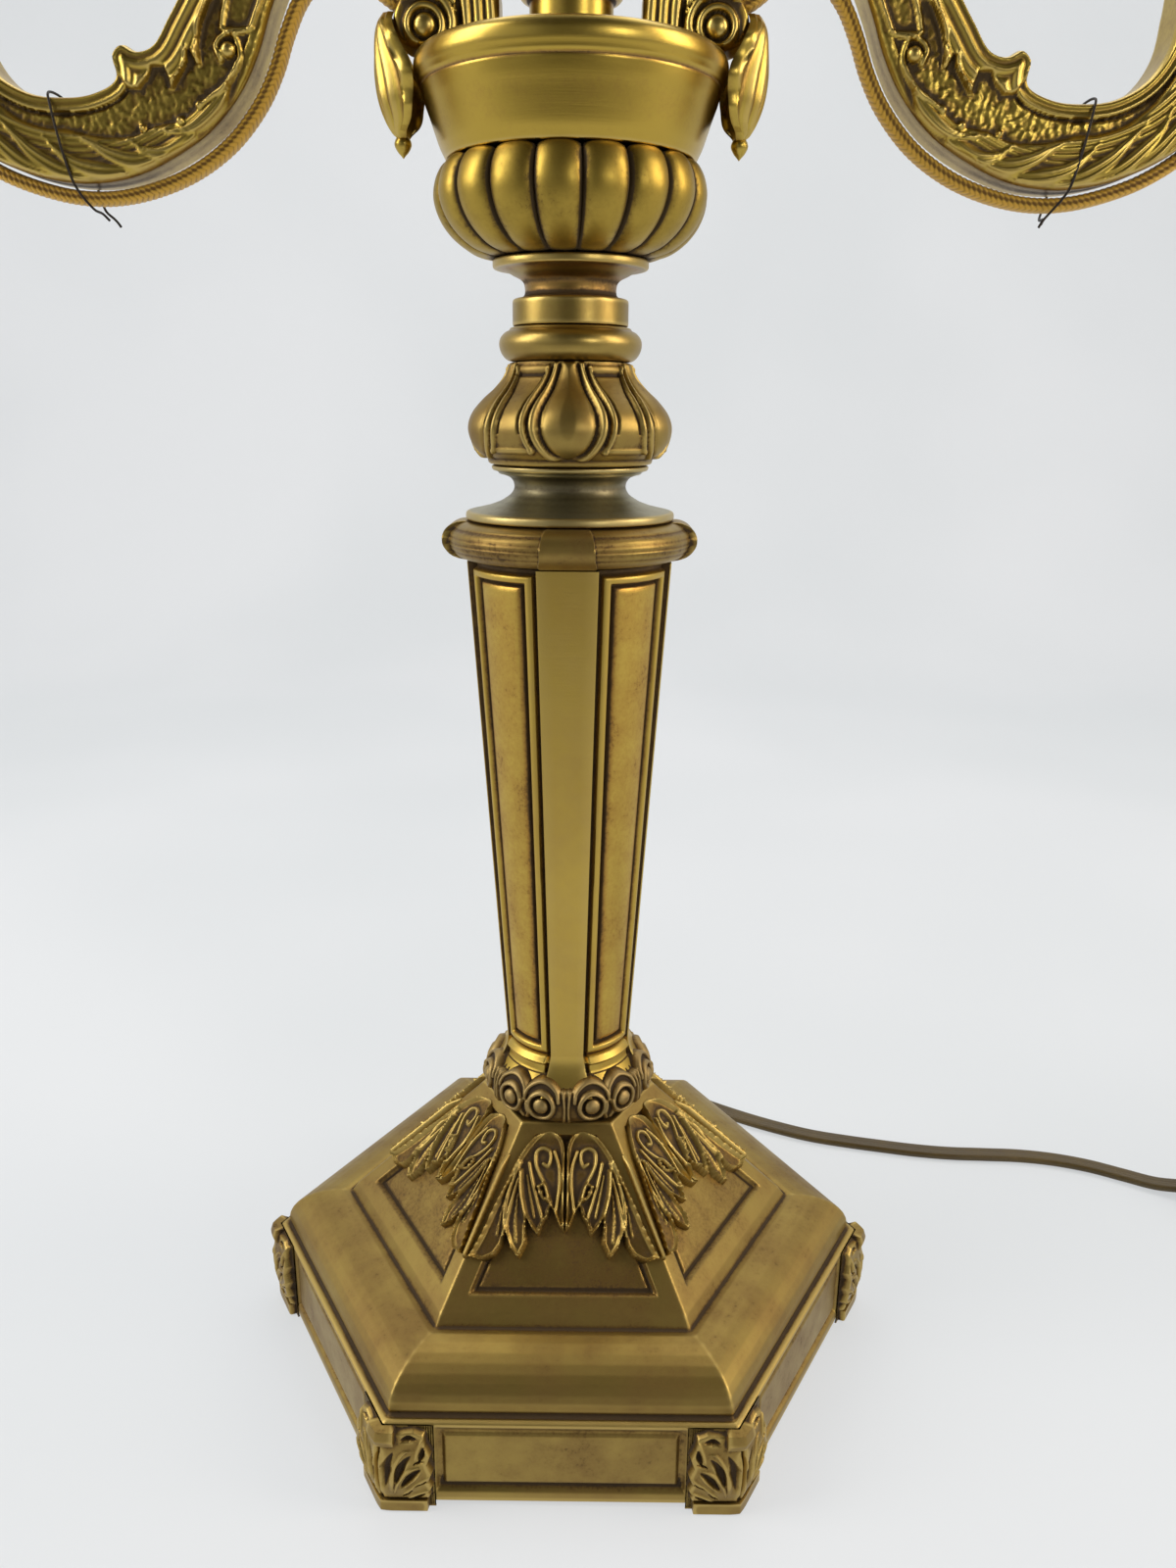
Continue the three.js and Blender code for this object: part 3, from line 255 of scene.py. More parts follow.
def blurred(image: Array, radius: float) -> Array:
    """Image smoothed by three box averages along each axis.

    Args:
        image: Two-dimensional array.
        radius: Half width of the box in cells.
    Returns:
        Array of the same shape.
    """
    half = max(1, int(round(radius)))
    kernel = np.ones(2 * half + 1) / (2 * half + 1)
    result = image
    for _ in range(3):
        for axis in (0, 1):
            padded = np.pad(result, [(half, half) if a == axis else (0, 0) for a in (0, 1)], mode="edge")
            result = np.apply_along_axis(lambda line: np.convolve(line, kernel, "valid"), axis, padded)
    return result


@dataclass
class Relief:
    """Heights over a flat patch, worked in feature by feature and read back at any place."""

    low: tuple[float, float]
    high: tuple[float, float]
    pitch: float = 0.2
    height: Array = field(init=False)
    hollow: Array = field(init=False)

    def __post_init__(self) -> None:
        """Lays out the cells."""
        us, vs = (np.arange(low, high + self.pitch, self.pitch) for low, high in zip(self.low, self.high))
        self.u, self.v = np.meshgrid(us, vs, indexing="ij")
        self.height = np.zeros(self.u.shape)
        self.hollow = np.zeros(self.u.shape)

    def _patch(self, points: Array, reach: float) -> tuple[slice, slice]:
        """Cells around some points, as a pair of slices."""
        spans = []
        for axis in (0, 1):
            first = int((points[:, axis].min() - reach - self.low[axis]) / self.pitch)
            last = int((points[:, axis].max() + reach - self.low[axis]) / self.pitch) + 2
            size = self.height.shape[axis]
            spans.append(slice(min(max(first, 0), size), min(max(last, 0), size)))
        return spans[0], spans[1]

    def border(self, outline: Line) -> Array:
        """Distance to an outline over the whole patch, positive inside it."""
        corners = np.asarray(outline, float)
        far, _ = segment_distance(self.u, self.v, np.vstack([corners, corners[:1]]))
        return np.where(inside(self.u, self.v, corners), far, -far)

    def bead(self, line: Line, width: float, height: float, taper: float = 0.0, smooth: int = 0) -> None:
        """Adds a rounded bar along a line, or a groove where the height is negative.

        Args:
            line: Points of the line.
            width: Half width of the bar.
            height: Height at its middle.
            taper: Share of each end over which it narrows.
            smooth: Points of a curve laid through the line first, 0 for none.
        """
        path = spline(line, smooth) if smooth else np.asarray(line, float)
        cells = self._patch(path, width)
        far, along = segment_distance(self.u[cells], self.v[cells], path)
        slim = np.ones_like(far)
        if taper:
            slim = np.sqrt(np.clip(np.minimum(along, 1 - along) / taper, 0.02, 1.0))
        round_top = np.clip(1 - (far / (width * slim)) ** 2, 0.0, 1.0) ** 0.6
        self.height[cells] += height * slim * round_top

    def pair(self, line: Line, width: float, height: float, smooth: int = 0) -> None:
        """Adds a bar and its mirror image."""
        for side in (-1, 1):
            self.bead([(side * u, v) for u, v in line], width, height, smooth=smooth)

    def lobe(self, line: Line, width: float, height: float, veins: float = 0.0) -> None:
        """Sets an almond leaf with veins along a midrib, over what is lower.

        Args:
            line: Midrib from root to tip.
            width: Half width at the widest place.
            height: Height at the midrib.
            veins: Depth of the veins.
        """
        path = spline(line, 24)
        cells = self._patch(path, width)
        far, along = segment_distance(self.u[cells], self.v[cells], path)
        half = width * np.clip(np.sin(np.pi * np.clip(along, 0.02, 0.985) ** 0.62), 0.12, 1.0)
        swell = np.clip(1 - (far / half) ** 2, 0.0, 1.0)
        cut = veins * np.cos(far / half * 2.5 * np.pi) * swell
        shape = height * swell**0.5 * (0.6 + 0.4 * np.sin(np.pi * along)) - np.clip(cut, 0.0, None)
        under = self.height[cells]
        self.height[cells] = np.where(far < half, np.maximum(under, shape), under)

    def dome(self, centre: tuple[float, float], radius: float, height: float) -> None:
        """Sets a round button over what is lower."""
        far = np.hypot(self.u - centre[0], self.v - centre[1])
        swell = height * np.sqrt(np.clip(1 - (far / radius) ** 2, 0.0, 1.0))
        self.height = np.where(far < radius, np.maximum(self.height, swell), self.height)

    def finish(self, reach: float = 1.1, depth: float = 0.35) -> "Relief":
        """Works out how hollow each cell lies, and gives back the relief."""
        self.hollow = np.clip((blurred(self.height, reach / self.pitch) - self.height) / depth, -1.0, 1.0)
        return self

    def read(self, u: Array, v: Array, image: Array | None = None) -> Array:
        """Value at any places, by straight interpolation between cells.

        Args:
            u: First coordinates.
            v: Second coordinates.
            image: Cells to read, the heights if none.
        Returns:
            Values with the shape of the coordinates.
        """
        source = self.height if image is None else image
        x = np.clip((np.asarray(u) - self.low[0]) / self.pitch, 0, source.shape[0] - 1.001)
        y = np.clip((np.asarray(v) - self.low[1]) / self.pitch, 0, source.shape[1] - 1.001)
        i, j = x.astype(int), y.astype(int)
        x, y = x - i, y - j
        return (source[i, j] * (1 - x) * (1 - y) + source[i + 1, j] * x * (1 - y)
                + source[i, j + 1] * (1 - x) * y + source[i + 1, j + 1] * x * y)


def grid_faces(rows: int, cols: int, loop_rows: bool = False, loop_cols: bool = False) -> Array:
    """Four-cornered faces of a grid of points.

    Args:
        rows: Number of rows.
        cols: Number of columns.
        loop_rows: Whether the last row joins the first.
        loop_cols: Whether the last column joins the first.
    Returns:
        Corner indices, faces by four.
    """
    i = np.arange(rows if loop_rows else rows - 1)[:, None]
    j = np.arange(cols if loop_cols else cols - 1)[None, :]
    low, high = i * cols, ((i + 1) % rows) * cols
    right = (j + 1) % cols
    return np.stack([low + j, low + right, high + right, high + j], axis=-1).reshape(-1, 4)


def as_object(name: str, points: Array, faces: Iterable[Sequence[int]], hollow: Array | None = None,
              crease: float = 38.0) -> bpy.types.Object:
    """Mesh object from points in millimetres, its faces turned outwards.

    Args:
        name: Name of the object.
        points: Corners, points by three.
        faces: Corner indices of each face.
        hollow: Groove value of the points, from -1 on an edge to 1 in a groove, 0 where it ends early.
        crease: Angle in degrees above which an edge is drawn sharp.
    Returns:
        The linked object.
    """
    mesh = bpy.data.meshes.new(name)
    corners = np.asarray(points, float).reshape(-1, 3) * MM
    if isinstance(faces, np.ndarray):
        mesh.vertices.add(len(corners))
        mesh.vertices.foreach_set("co", corners.ravel())
        mesh.loops.add(faces.size)
        mesh.loops.foreach_set("vertex_index", faces.ravel().astype(np.int32))
        mesh.polygons.add(len(faces))
        mesh.polygons.foreach_set("loop_start", np.arange(0, faces.size, faces.shape[1], dtype=np.int32))
        mesh.update(calc_edges=True)
    else:
        mesh.from_pydata(corners.tolist(), [], [list(map(int, face)) for face in faces])
    mesh.validate()
    mesh.calc_loop_triangles()
    triangles = np.zeros(len(mesh.loop_triangles) * 3, np.int32)
    mesh.loop_triangles.foreach_get("vertices", triangles)
    a, b, c = (corners[triangles.reshape(-1, 3)[:, k]] for k in range(3))
    if np.einsum("ij,ij->i", a, np.cross(b, c)).sum() < 0:
        mesh.flip_normals()
    if hollow is not None:
        values = np.zeros(len(corners), np.float32)
        values[:np.size(hollow)] = np.ravel(hollow)
        mesh.attributes.new("hollow", "FLOAT", "POINT").data.foreach_set("value", values)
    mesh.polygons.foreach_set("use_smooth", np.ones(len(mesh.polygons), bool))
    mesh.set_sharp_from_angle(angle=math.radians(crease))
    piece = bpy.data.objects.new(name, mesh)
    bpy.context.scene.collection.objects.link(piece)
    return piece


def polar(degrees: Array, radius: Array, height: Array) -> Array:
    """Points at angles from the front, radii and heights, stacked on a last axis of three."""
    turn = np.radians(degrees)
    return np.stack(np.broadcast_arrays(radius * np.sin(turn), -radius * np.cos(turn), height), axis=-1)


def turned(points: Array, degrees: float) -> Array:
    """Points rotated about the upright axis."""
    turn = math.radians(degrees)
    matrix = np.array([[math.cos(turn), -math.sin(turn), 0], [math.sin(turn), math.cos(turn), 0], [0, 0, 1]])
    return np.asarray(points) @ matrix.T


def around(sector: Array, count: int) -> Array:
    """Grid of points repeated about the upright axis, side by side."""
    return np.concatenate([turned(sector, 360 / count * k) for k in range(count)], axis=1)


def lining(cols: int, first: float, rings: Line) -> Array:
    """Plain rings that close a skin on its inside.

    Args:
        cols: Number of columns.
        first: Angle of the first column.
        rings: Radius and height of each ring.
    Returns:
        Rings by columns by three.
    """
    angles = first + np.linspace(0, 360, cols, endpoint=False)
    radius, height = np.array(rings, float).T[..., None]
    return polar(angles[None, :], radius, height)


def capped(points: Array) -> tuple[Array, Array]:
    """Skin over a grid whose rows go round, with a fan over its first row and its last.

    Args:
        points: Rows by columns by three.
    Returns:
        Points and faces.
    """
    rows, cols = points.shape[:2]
    corners, faces = [points.reshape(-1, 3)], [grid_faces(rows, cols, loop_cols=True)]
    for order, row in enumerate((0, rows - 1)):
        middle = points[row].mean(axis=0)
        corners.append(middle + (points[row] - middle) * 0.12)
        index, fresh = np.arange(cols) + row * cols, np.arange(cols) + (rows + order) * cols
        strip = [[fresh[k], fresh[k + 1], fresh[-k - 2], fresh[-k - 1]] for k in range(cols // 2 - 1)]
        lid = np.vstack([np.stack([index, np.roll(index, -1), np.roll(fresh, -1), fresh], axis=1), strip])
        faces.append(lid if order else lid[:, ::-1])
    return np.vstack(corners), np.vstack(faces)


def swept(path: Array, section: Array, side: Array | None = None) -> tuple[Array, Array]:
    """Closed tube of one section along a path.

    Args:
        path: Points of the middle line.
        section: Outline across the path, points by two, or rings by points by two.
        side: Direction of the outline's first axis at each point, level if none.
    Returns:
        Points and faces.
    """
    tangent = unit(np.gradient(path, axis=0))
    across = np.cross(tangent, [0.0, 0.0, 1.0]) if side is None else np.asarray(side, float)
    across = unit(across - (across * tangent).sum(axis=1, keepdims=True) * tangent)
    rise = np.cross(across, tangent)
    rings = np.broadcast_to(section, (len(path), *np.shape(section)[-2:]))
    return capped(path[:, None] + rings[..., :1] * across[:, None] + rings[..., 1:] * rise[:, None])


def squared(turn: Array, across: float, up: float) -> Array:
    """Ring squarer than a circle, its powers below one, as points by two."""
    return np.stack([np.sign(side) * np.abs(side) ** power
                     for side, power in ((np.cos(turn), across), (np.sin(turn), up))], axis=1)


class Nodes:
    """Node tree of one material or of the world."""

    def __init__(self, tree: bpy.types.NodeTree) -> None:
        """Empties a tree and keeps it."""
        self.tree = tree
        tree.nodes.clear()

    def make(self, kind: str, settings: dict[str, Any] | None = None,
             sockets: dict[str | int, Any] | None = None) -> bpy.types.Node:
        """Adds a node.

        Args:
            kind: Type of the node.
            settings: Its properties, set first.
            sockets: Values or signals for its inputs, by name or number.
        Returns:
            The node.
        """
        node = self.tree.nodes.new(kind)
        for name, value in (settings or {}).items():
            setattr(node, name, value)
        for name, value in (sockets or {}).items():
            if isinstance(value, Signal):
                self.tree.links.new(value.socket, node.inputs[name])
            else:
                node.inputs[name].default_value = value
        return node

    def signal(self, node: bpy.types.Node, output: str | int = 0) -> "Signal":
        """Output of a node, ready for arithmetic."""
        return Signal(self, node.outputs[output])

    def place(self) -> "Signal":
        """Place on the surface, in metres."""
        return self.signal(self.make("ShaderNodeTexCoord"), "Object")

    def hollow(self) -> "Signal":
        """Groove value of the mesh, from -1 on an edge to 1 in a groove."""
        return self.signal(self.make("ShaderNodeAttribute", {"attribute_name": "hollow"}), "Fac")

    def noise(self, size: float, detail: float = 3.0, rough: float = 0.55, place: "Signal | None" = None) -> "Signal":
        """Soft noise about 0 to 1, its largest patches size mm wide, with finer layers of a given strength."""
        sockets = {"Vector": place or self.place(), "Scale": 1.0 / (size * MM), "Detail": detail, "Roughness": rough}
        return self.signal(self.make("ShaderNodeTexNoise", sockets=sockets), "Fac")

    def mixed(self, share: "Signal | float", first: Any, second: Any) -> "Signal":
        """Colour between two colours or signals, the first at a share of 0 and the second at 1."""
        sockets = {0: share, 6: first, 7: second}
        return self.signal(self.make("ShaderNodeMix", {"data_type": "RGBA"}, sockets), 2)

    def stretched(self, scale: tuple[float, float, float]) -> "Signal":
        """Place with its three axes scaled by Vector Math."""
        node = self.make("ShaderNodeVectorMath", {"operation": "MULTIPLY"}, {0: self.place(), 1: scale})
        return self.signal(node)


@dataclass(frozen=True)
class Signal:
    """Output socket with Python's arithmetic on it."""

    nodes: Nodes
    socket: bpy.types.NodeSocket

    def _math(self, operation: str, first: Any, second: Any, clamp: bool = False) -> "Signal":
        """Adds one Math node."""
        node = self.nodes.make("ShaderNodeMath", {"operation": operation, "use_clamp": clamp}, {0: first, 1: second})
        return self.nodes.signal(node)

    def __add__(self, other: "Signal | float") -> "Signal":
        """Sum."""
        return self._math("ADD", self, other)

    def __radd__(self, other: float) -> "Signal":
        """Sum with the number first."""
        return self._math("ADD", other, self)

    def __sub__(self, other: "Signal | float") -> "Signal":
        """Difference."""
        return self._math("SUBTRACT", self, other)

    def __rsub__(self, other: float) -> "Signal":
        """Difference with the number first."""
        return self._math("SUBTRACT", other, self)

    def __mul__(self, other: "Signal | float") -> "Signal":
        """Product."""
        return self._math("MULTIPLY", self, other)

    def __rmul__(self, other: float) -> "Signal":
        """Product with the number first."""
        return self._math("MULTIPLY", other, self)

    def clipped(self) -> "Signal":
        """Value kept between 0 and 1."""
        return self._math("ADD", self, 0.0, clamp=True)

    def step(self, low: float, high: float) -> "Signal":
        """Smooth share from 0 at low to 1 at high."""
        settings = {"interpolation_type": "SMOOTHSTEP"}
        node = self.nodes.make("ShaderNodeMapRange", settings, {"Value": self, "From Min": low, "From Max": high})
        return self.nodes.signal(node)


def tint(code: str) -> tuple[float, float, float, float]:
    """Scene-linear colour of a six-digit screen colour."""
    parts = [int(code[k:k + 2], 16) / 255 for k in (0, 2, 4)]
    red, green, blue = (part / 12.92 if part <= 0.04045 else ((part + 0.055) / 1.055) ** 2.4 for part in parts)
    return red, green, blue, 1.0


class Coat(Enum):
    """What lies over a finish."""

    BARE = 0.0
    LACQUERED = 0.35


@dataclass(frozen=True)
class Surface:
    """What every finish has: a name and a way to its shader."""

    name: str
    slot: str

    def material(self) -> bpy.types.Material:
        """Builds the material.

        Returns:
            The material, its shader's sockets set by the finish.
        """
        material = bpy.data.materials.new(self.name)
        material.use_nodes = True
        nodes = Nodes(material.node_tree)
        shader = nodes.make("ShaderNodeBsdfPrincipled", sockets=self.sockets(nodes))
        nodes.make("ShaderNodeOutputMaterial", sockets={"Surface": nodes.signal(shader)})
        return material

    def sockets(self, nodes: Nodes) -> dict[str, Any]:
        """Values and signals of the shader's sockets, none for a plain surface."""
        return {}

    @staticmethod
    def bumped(nodes: Nodes, height: Signal, relief: float) -> Signal:
        """Normal of a bumpy surface, its relief in millimetres."""
        sockets = {"Strength": 1.0, "Distance": relief * MM, "Height": height}
        return nodes.signal(nodes.make("ShaderNodeBump", sockets=sockets))


@dataclass(frozen=True)
class Brass(Surface):
    """Old brass: clean on edges, brown in its grooves, specked and clouded between them.

    Attributes:
        clean, cloud, dirt_and_shade, edge, sunk: Colours of handled metal, of the film on it, of dark dirt in the
        grooves with painted shade on it, of rubbed edges, and of sunk fields, partly dirt and partly painted shade.
        gloss: Roughness of handled metal.
        age, speck: Shares of film and of fine dark specks, from 0 to 1.
        grain, brushed: Depths of the cast skin and of fine turning lines in millimetres.
        reach: How far the dark dirt and painted shade spread out of the grooves.
        coat: What lies over the metal.
    """

    clean: str = "c39a45"
    cloud: str = "93713a"
    dirt_and_shade: str = "3a2a14"
    edge: str = "c8ad66"
    gloss: float = 0.3
    age: float = 0.45
    speck: float = 0.4
    grain: float = 0.03
    reach: float = 0.5
    brushed: float = 0.0
    sunk: str = "9a7440"
    coat: Coat = Coat.BARE

    def sockets(self, nodes: Nodes) -> dict[str, Any]:
        """Works out the finish.

        Args:
            nodes: Tree of the material.
        Returns:
            Values and signals of the shader's sockets.
        """
        hollow = nodes.hollow()
        # Ambient occlusion finds closed-in places, which are painted darker below: painted shade.
        shut = nodes.signal(nodes.make("ShaderNodeAmbientOcclusion", {"samples": 6}, {"Distance": 3.5 * MM}), "AO")
        broad = nodes.noise(38.0, 4.0, 0.6)
        patch = nodes.noise(9.0, 5.0, 0.65)
        fine = nodes.noise(1.1, 4.0, 0.7)
        pits = nodes.noise(0.45, 2.0, 0.6)
        film = (0.75 * broad + 0.45 * patch - 0.6 + self.age).step(0.25, 0.85)
        closed = (1.0 - shut).step(0.28, 0.85)
        # Mask of the darkest colour from the groove value and the occlusion: dark dirt in the grooves, with painted
        # shade.
        dirt_and_shade_mask = (hollow * 1.15 + closed * 0.75 + patch * 0.5 - 0.42 + 0.3 * fine).step(
            0.95 - self.reach, 1.45 - self.reach)
        # Mask of the sunk colour, also from the groove value and the occlusion: partly dirt, partly painted shade.
        soil_and_shade = (hollow * 0.9 + closed * 0.5 + fine * 0.55 + patch * 0.6).step(0.5, 1.05)
        specks = self.speck * (fine * 0.8 + patch * 0.5 + soil_and_shade * 0.22 + broad * 0.3).step(
            1.12 - 0.22 * self.speck, 1.2)
        rubbed = (hollow * -1.0 + patch * 0.5).step(0.45, 1.15)
        body = nodes.mixed(film, tint(self.clean), tint(self.cloud))
        soiled_and_shaded = nodes.mixed(soil_and_shade * 0.75, body, tint(self.sunk))
        worn = nodes.mixed(rubbed * 0.6, soiled_and_shaded, tint(self.edge))
        specked = nodes.mixed(specks * 0.7, worn, tint(self.dirt_and_shade))
        colour = nodes.mixed(dirt_and_shade_mask * 0.9, specked, tint(self.dirt_and_shade))
        rough = (self.gloss + 0.13 * film + 0.3 * dirt_and_shade_mask + 0.12 * specks + 0.1 * (fine - 0.5)).clipped()
        metal = (1.0 - 0.55 * dirt_and_shade_mask - 0.25 * specks).clipped()
        height = fine * 0.6 + pits * 0.4 - specks * 0.5
        if self.brushed:
            lines = nodes.noise(0.5, 3.0, 0.7, nodes.stretched((0.03, 0.03, 1.0)))
            height = height + lines * (self.brushed / self.grain)
        return {
            "Base Color": colour, "Roughness": rough, "Metallic": metal,
            "Coat Weight": self.coat.value, "Coat Roughness": 0.2,
            "Normal": self.bumped(nodes, height, self.grain),
        }


@dataclass(frozen=True)
class Steel(Surface):
    """Plated steel with fine scratches and a few rusty specks."""

    colour: str = "b4b2ac"
    rust: str = "6b4a30"
    gloss: float = 0.34
    metal: float = 1.0

    def sockets(self, nodes: Nodes) -> dict[str, Any]:
        """Works out the finish.

        Args:
            nodes: Tree of the material.
        Returns:
            Values and signals of the shader's sockets.
        """
        scratch = nodes.noise(0.8, 4.0, 0.7, nodes.stretched((1.0, 1.0, 0.1)))
        specks = nodes.noise(3.0, 5.0, 0.7).step(0.62, 0.75)
        return {
            "Base Color": nodes.mixed(specks * 0.6, tint(self.colour), tint(self.rust)),
            "Roughness": self.gloss + 0.2 * specks + 0.12 * scratch,
            "Metallic": self.metal * (1.0 - 0.6 * specks), "Normal": self.bumped(nodes, scratch, 0.02),
        }


@dataclass(frozen=True)
class Fabric(Surface):
    """Felt or braid: fibres that scatter light, with worn and soiled patches."""

    colour: str = "2f4a35"
    shade_colour: str = "17251b"
    fibre: float = 0.5
    sheen: float = 0.3
    pile: float = 0.12

    def sockets(self, nodes: Nodes) -> dict[str, Any]:
        """Works out the finish.

        Args:
            nodes: Tree of the material.
        Returns:
            Values and signals of the shader's sockets.
        """
        fibres = nodes.noise(self.fibre, 4.0, 0.75)
        soil_and_shade = nodes.noise(14.0, 4.0, 0.6)
        dark = (nodes.hollow() * 0.9 + fibres * 0.7 + soil_and_shade * 0.4 - 0.1).step(0.25, 1.0)
        return {
            "Base Color": nodes.mixed(dark, tint(self.colour), tint(self.shade_colour)),
            "Roughness": 0.62 + 0.25 * dark, "Sheen Weight": self.sheen, "Sheen Roughness": 0.4,
            "Normal": self.bumped(nodes, fibres, self.pile),
        }


@dataclass(frozen=True)
class Moulded(Surface):
    """Plastic, resin, card or glass with a faint texture and dust."""

    colour: str = "4a3a1e"
    dust: str = "6a5838"
    gloss: float = 0.42
    texture: float = 0.015
    size: float = 0.8
    glow: float = 0.0
    coat: Coat = Coat.BARE

    def sockets(self, nodes: Nodes) -> dict[str, Any]:
        """Works out the finish.

        Args:
            nodes: Tree of the material.
        Returns:
            Values and signals of the shader's sockets.
        """
        texture = nodes.noise(self.size, 3.0, 0.6)
        faded = (nodes.noise(22.0, 4.0, 0.6) + 0.35 * texture).step(0.5, 0.95)
        return {
            "Base Color": nodes.mixed(faded * 0.7, tint(self.colour), tint(self.dust)),
            "Roughness": self.gloss + 0.12 * faded + 0.08 * texture,
            "Subsurface Weight": self.glow, "Subsurface Radius": (0.004, 0.004, 0.003),
            "Coat Weight": self.coat.value, "Coat Roughness": 0.08,
            "Normal": self.bumped(nodes, texture, self.texture),
        }


class Finish(Enum):
    """Every finish of the lamp."""

    CAST = Brass("cast_look", "brass", clean="a18949", cloud="80653a", sunk="6e522c", age=0.52, speck=0.8, gloss=0.4)
    DULL = Brass("dull_look", "brass", clean="917a48", cloud="6f5733", sunk="5c4426", edge="b39a66", age=0.6,
                 speck=0.8, gloss=0.44, grain=0.05)
    COLUMN = Brass("column_look", "brass", clean="c2a44d", cloud="a8863f", sunk="a0743a", age=0.4, speck=0.5,
                   gloss=0.38, brushed=0.02)
    ARM = Brass("arm_look", "brass", clean="bba04a", cloud="927838", sunk="8a6a34", age=0.3, speck=0.2, gloss=0.32,
                reach=0.42)
    TURNED = Brass("turned_look", "brass", clean="a68d4a", cloud="755e36", age=0.45, speck=0.4, gloss=0.32)
    POLISHED = Brass("polished_look", "polished_brass", clean="b89b44", cloud="9c8038", age=0.25, speck=0.12,
                     gloss=0.3, grain=0.012, brushed=0.02, reach=0.4)
    LOBED = Brass("lobed_look", "polished_brass", clean="ac9140", cloud="8c7532", sunk="735a2a", age=0.42,
                  speck=0.75, gloss=0.4)
    GREY = Brass("grey_look", "grey_brass", clean="a39b7a", cloud="857d62", sunk="70664c", age=0.5, speck=0.3,
                 gloss=0.36, reach=0.35)
    STEEL = Steel("plated_steel", "steel")
    WIRE = Steel("wire_look", "dark_wire", colour="2b241e", rust="46301f", gloss=0.45, metal=0.6)
    FELT = Fabric("green_felt", "felt")
    BRAID = Fabric("gold_braid", "braid", colour="c79a2e", shade_colour="6a4a12", fibre=0.3, sheen=0.25, pile=0.05)
    SLEEVE = Moulded("ivory_sleeve", "candle_ivory", colour="e9dfc4", dust="d9cba4", gloss=0.45, glow=0.05)
    OPAL = Moulded("opal_look", "opal_glass", colour="f2eee2", dust="e6e0d0", gloss=0.16, texture=0.004, glow=0.15,
                   coat=Coat.LACQUERED)
    CORD = Moulded("olive_cord", "brown_plastic", colour="453613", dust="5f4d20", gloss=0.36, texture=0.02)
    SHELL = Moulded("brown_shell", "brown_plastic", colour="3d2d18", dust="57452c", gloss=0.38, texture=0.03,
                    size=0.5)
    RESIN = Moulded("resin_look", "pale_resin", colour="d8d4c4", dust="b8b09a", gloss=0.5)

    def dress(self, piece: bpy.types.Object) -> bpy.types.Object:
        """Gives a piece this finish.

        Args:
            piece: Object to dress, a carried-over one or a new one.
        Returns:
            The same object.
        """
        piece.data.materials.clear()
        piece.data.materials.append(self.made())
        return piece

    def made(self) -> bpy.types.Material:
        """This finish's material, made once."""
        if self not in MADE:
            MADE[self] = self.value.material()
        return MADE[self]


MADE: dict[Finish, bpy.types.Material] = {}


def settle(name: str, skin: Array | tuple[Array, Array], finish: Finish, *nodes: str, hollow: Array | None = None,
           crease: float = 38.0, body: str = "lamp") -> bpy.types.Object:
    """Makes a piece, dresses it and ties it to the frame.

    Args:
        name: Name of the piece.
        skin: Points and faces, or a grid of points that closes both ways.
        finish: Finish of the piece.
        nodes: Nodes of the frame that it stands for.
        hollow: Groove value of the points.
        crease: Angle in degrees above which an edge is drawn sharp.
        body: Body that it rides on.
    Returns:
        The piece.
    """
    points, faces = skin if isinstance(skin, tuple) else (skin, grid_faces(*skin.shape[:2], True, True))
    piece = finish.dress(as_object(name, points, faces, hollow, crease))
    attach(piece, body)
    if nodes:
        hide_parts(*nodes)
    LOG.info("built %s", name)
    return piece


@dataclass
class Turning:
    """One turned piece: a closed outline of radius and height, spun about an upright axis."""

    name: str
    outline: Line
    finish: Finish
    node: str
    ease: float = 0.5
    segments: int = 112

    def build(self, at: tuple[float, float, float] = (0.0, 0.0, 0.0)) -> None:
        """Makes the piece.

        Args:
            at: Place of its axis and of its outline's zero height.
        """
        profile = densified(rounded(self.outline, self.ease, closed=True), 1.2, closed=True)
        angles = np.linspace(0, 360, self.segments, endpoint=False)
        points = polar(angles[None, :], profile[:, :1], profile[:, 1:]) + np.array(at)
        hollow = np.repeat(hollowness(profile, closed=True), self.segments)
        settle(self.name, points, self.finish, self.node, hollow=hollow)


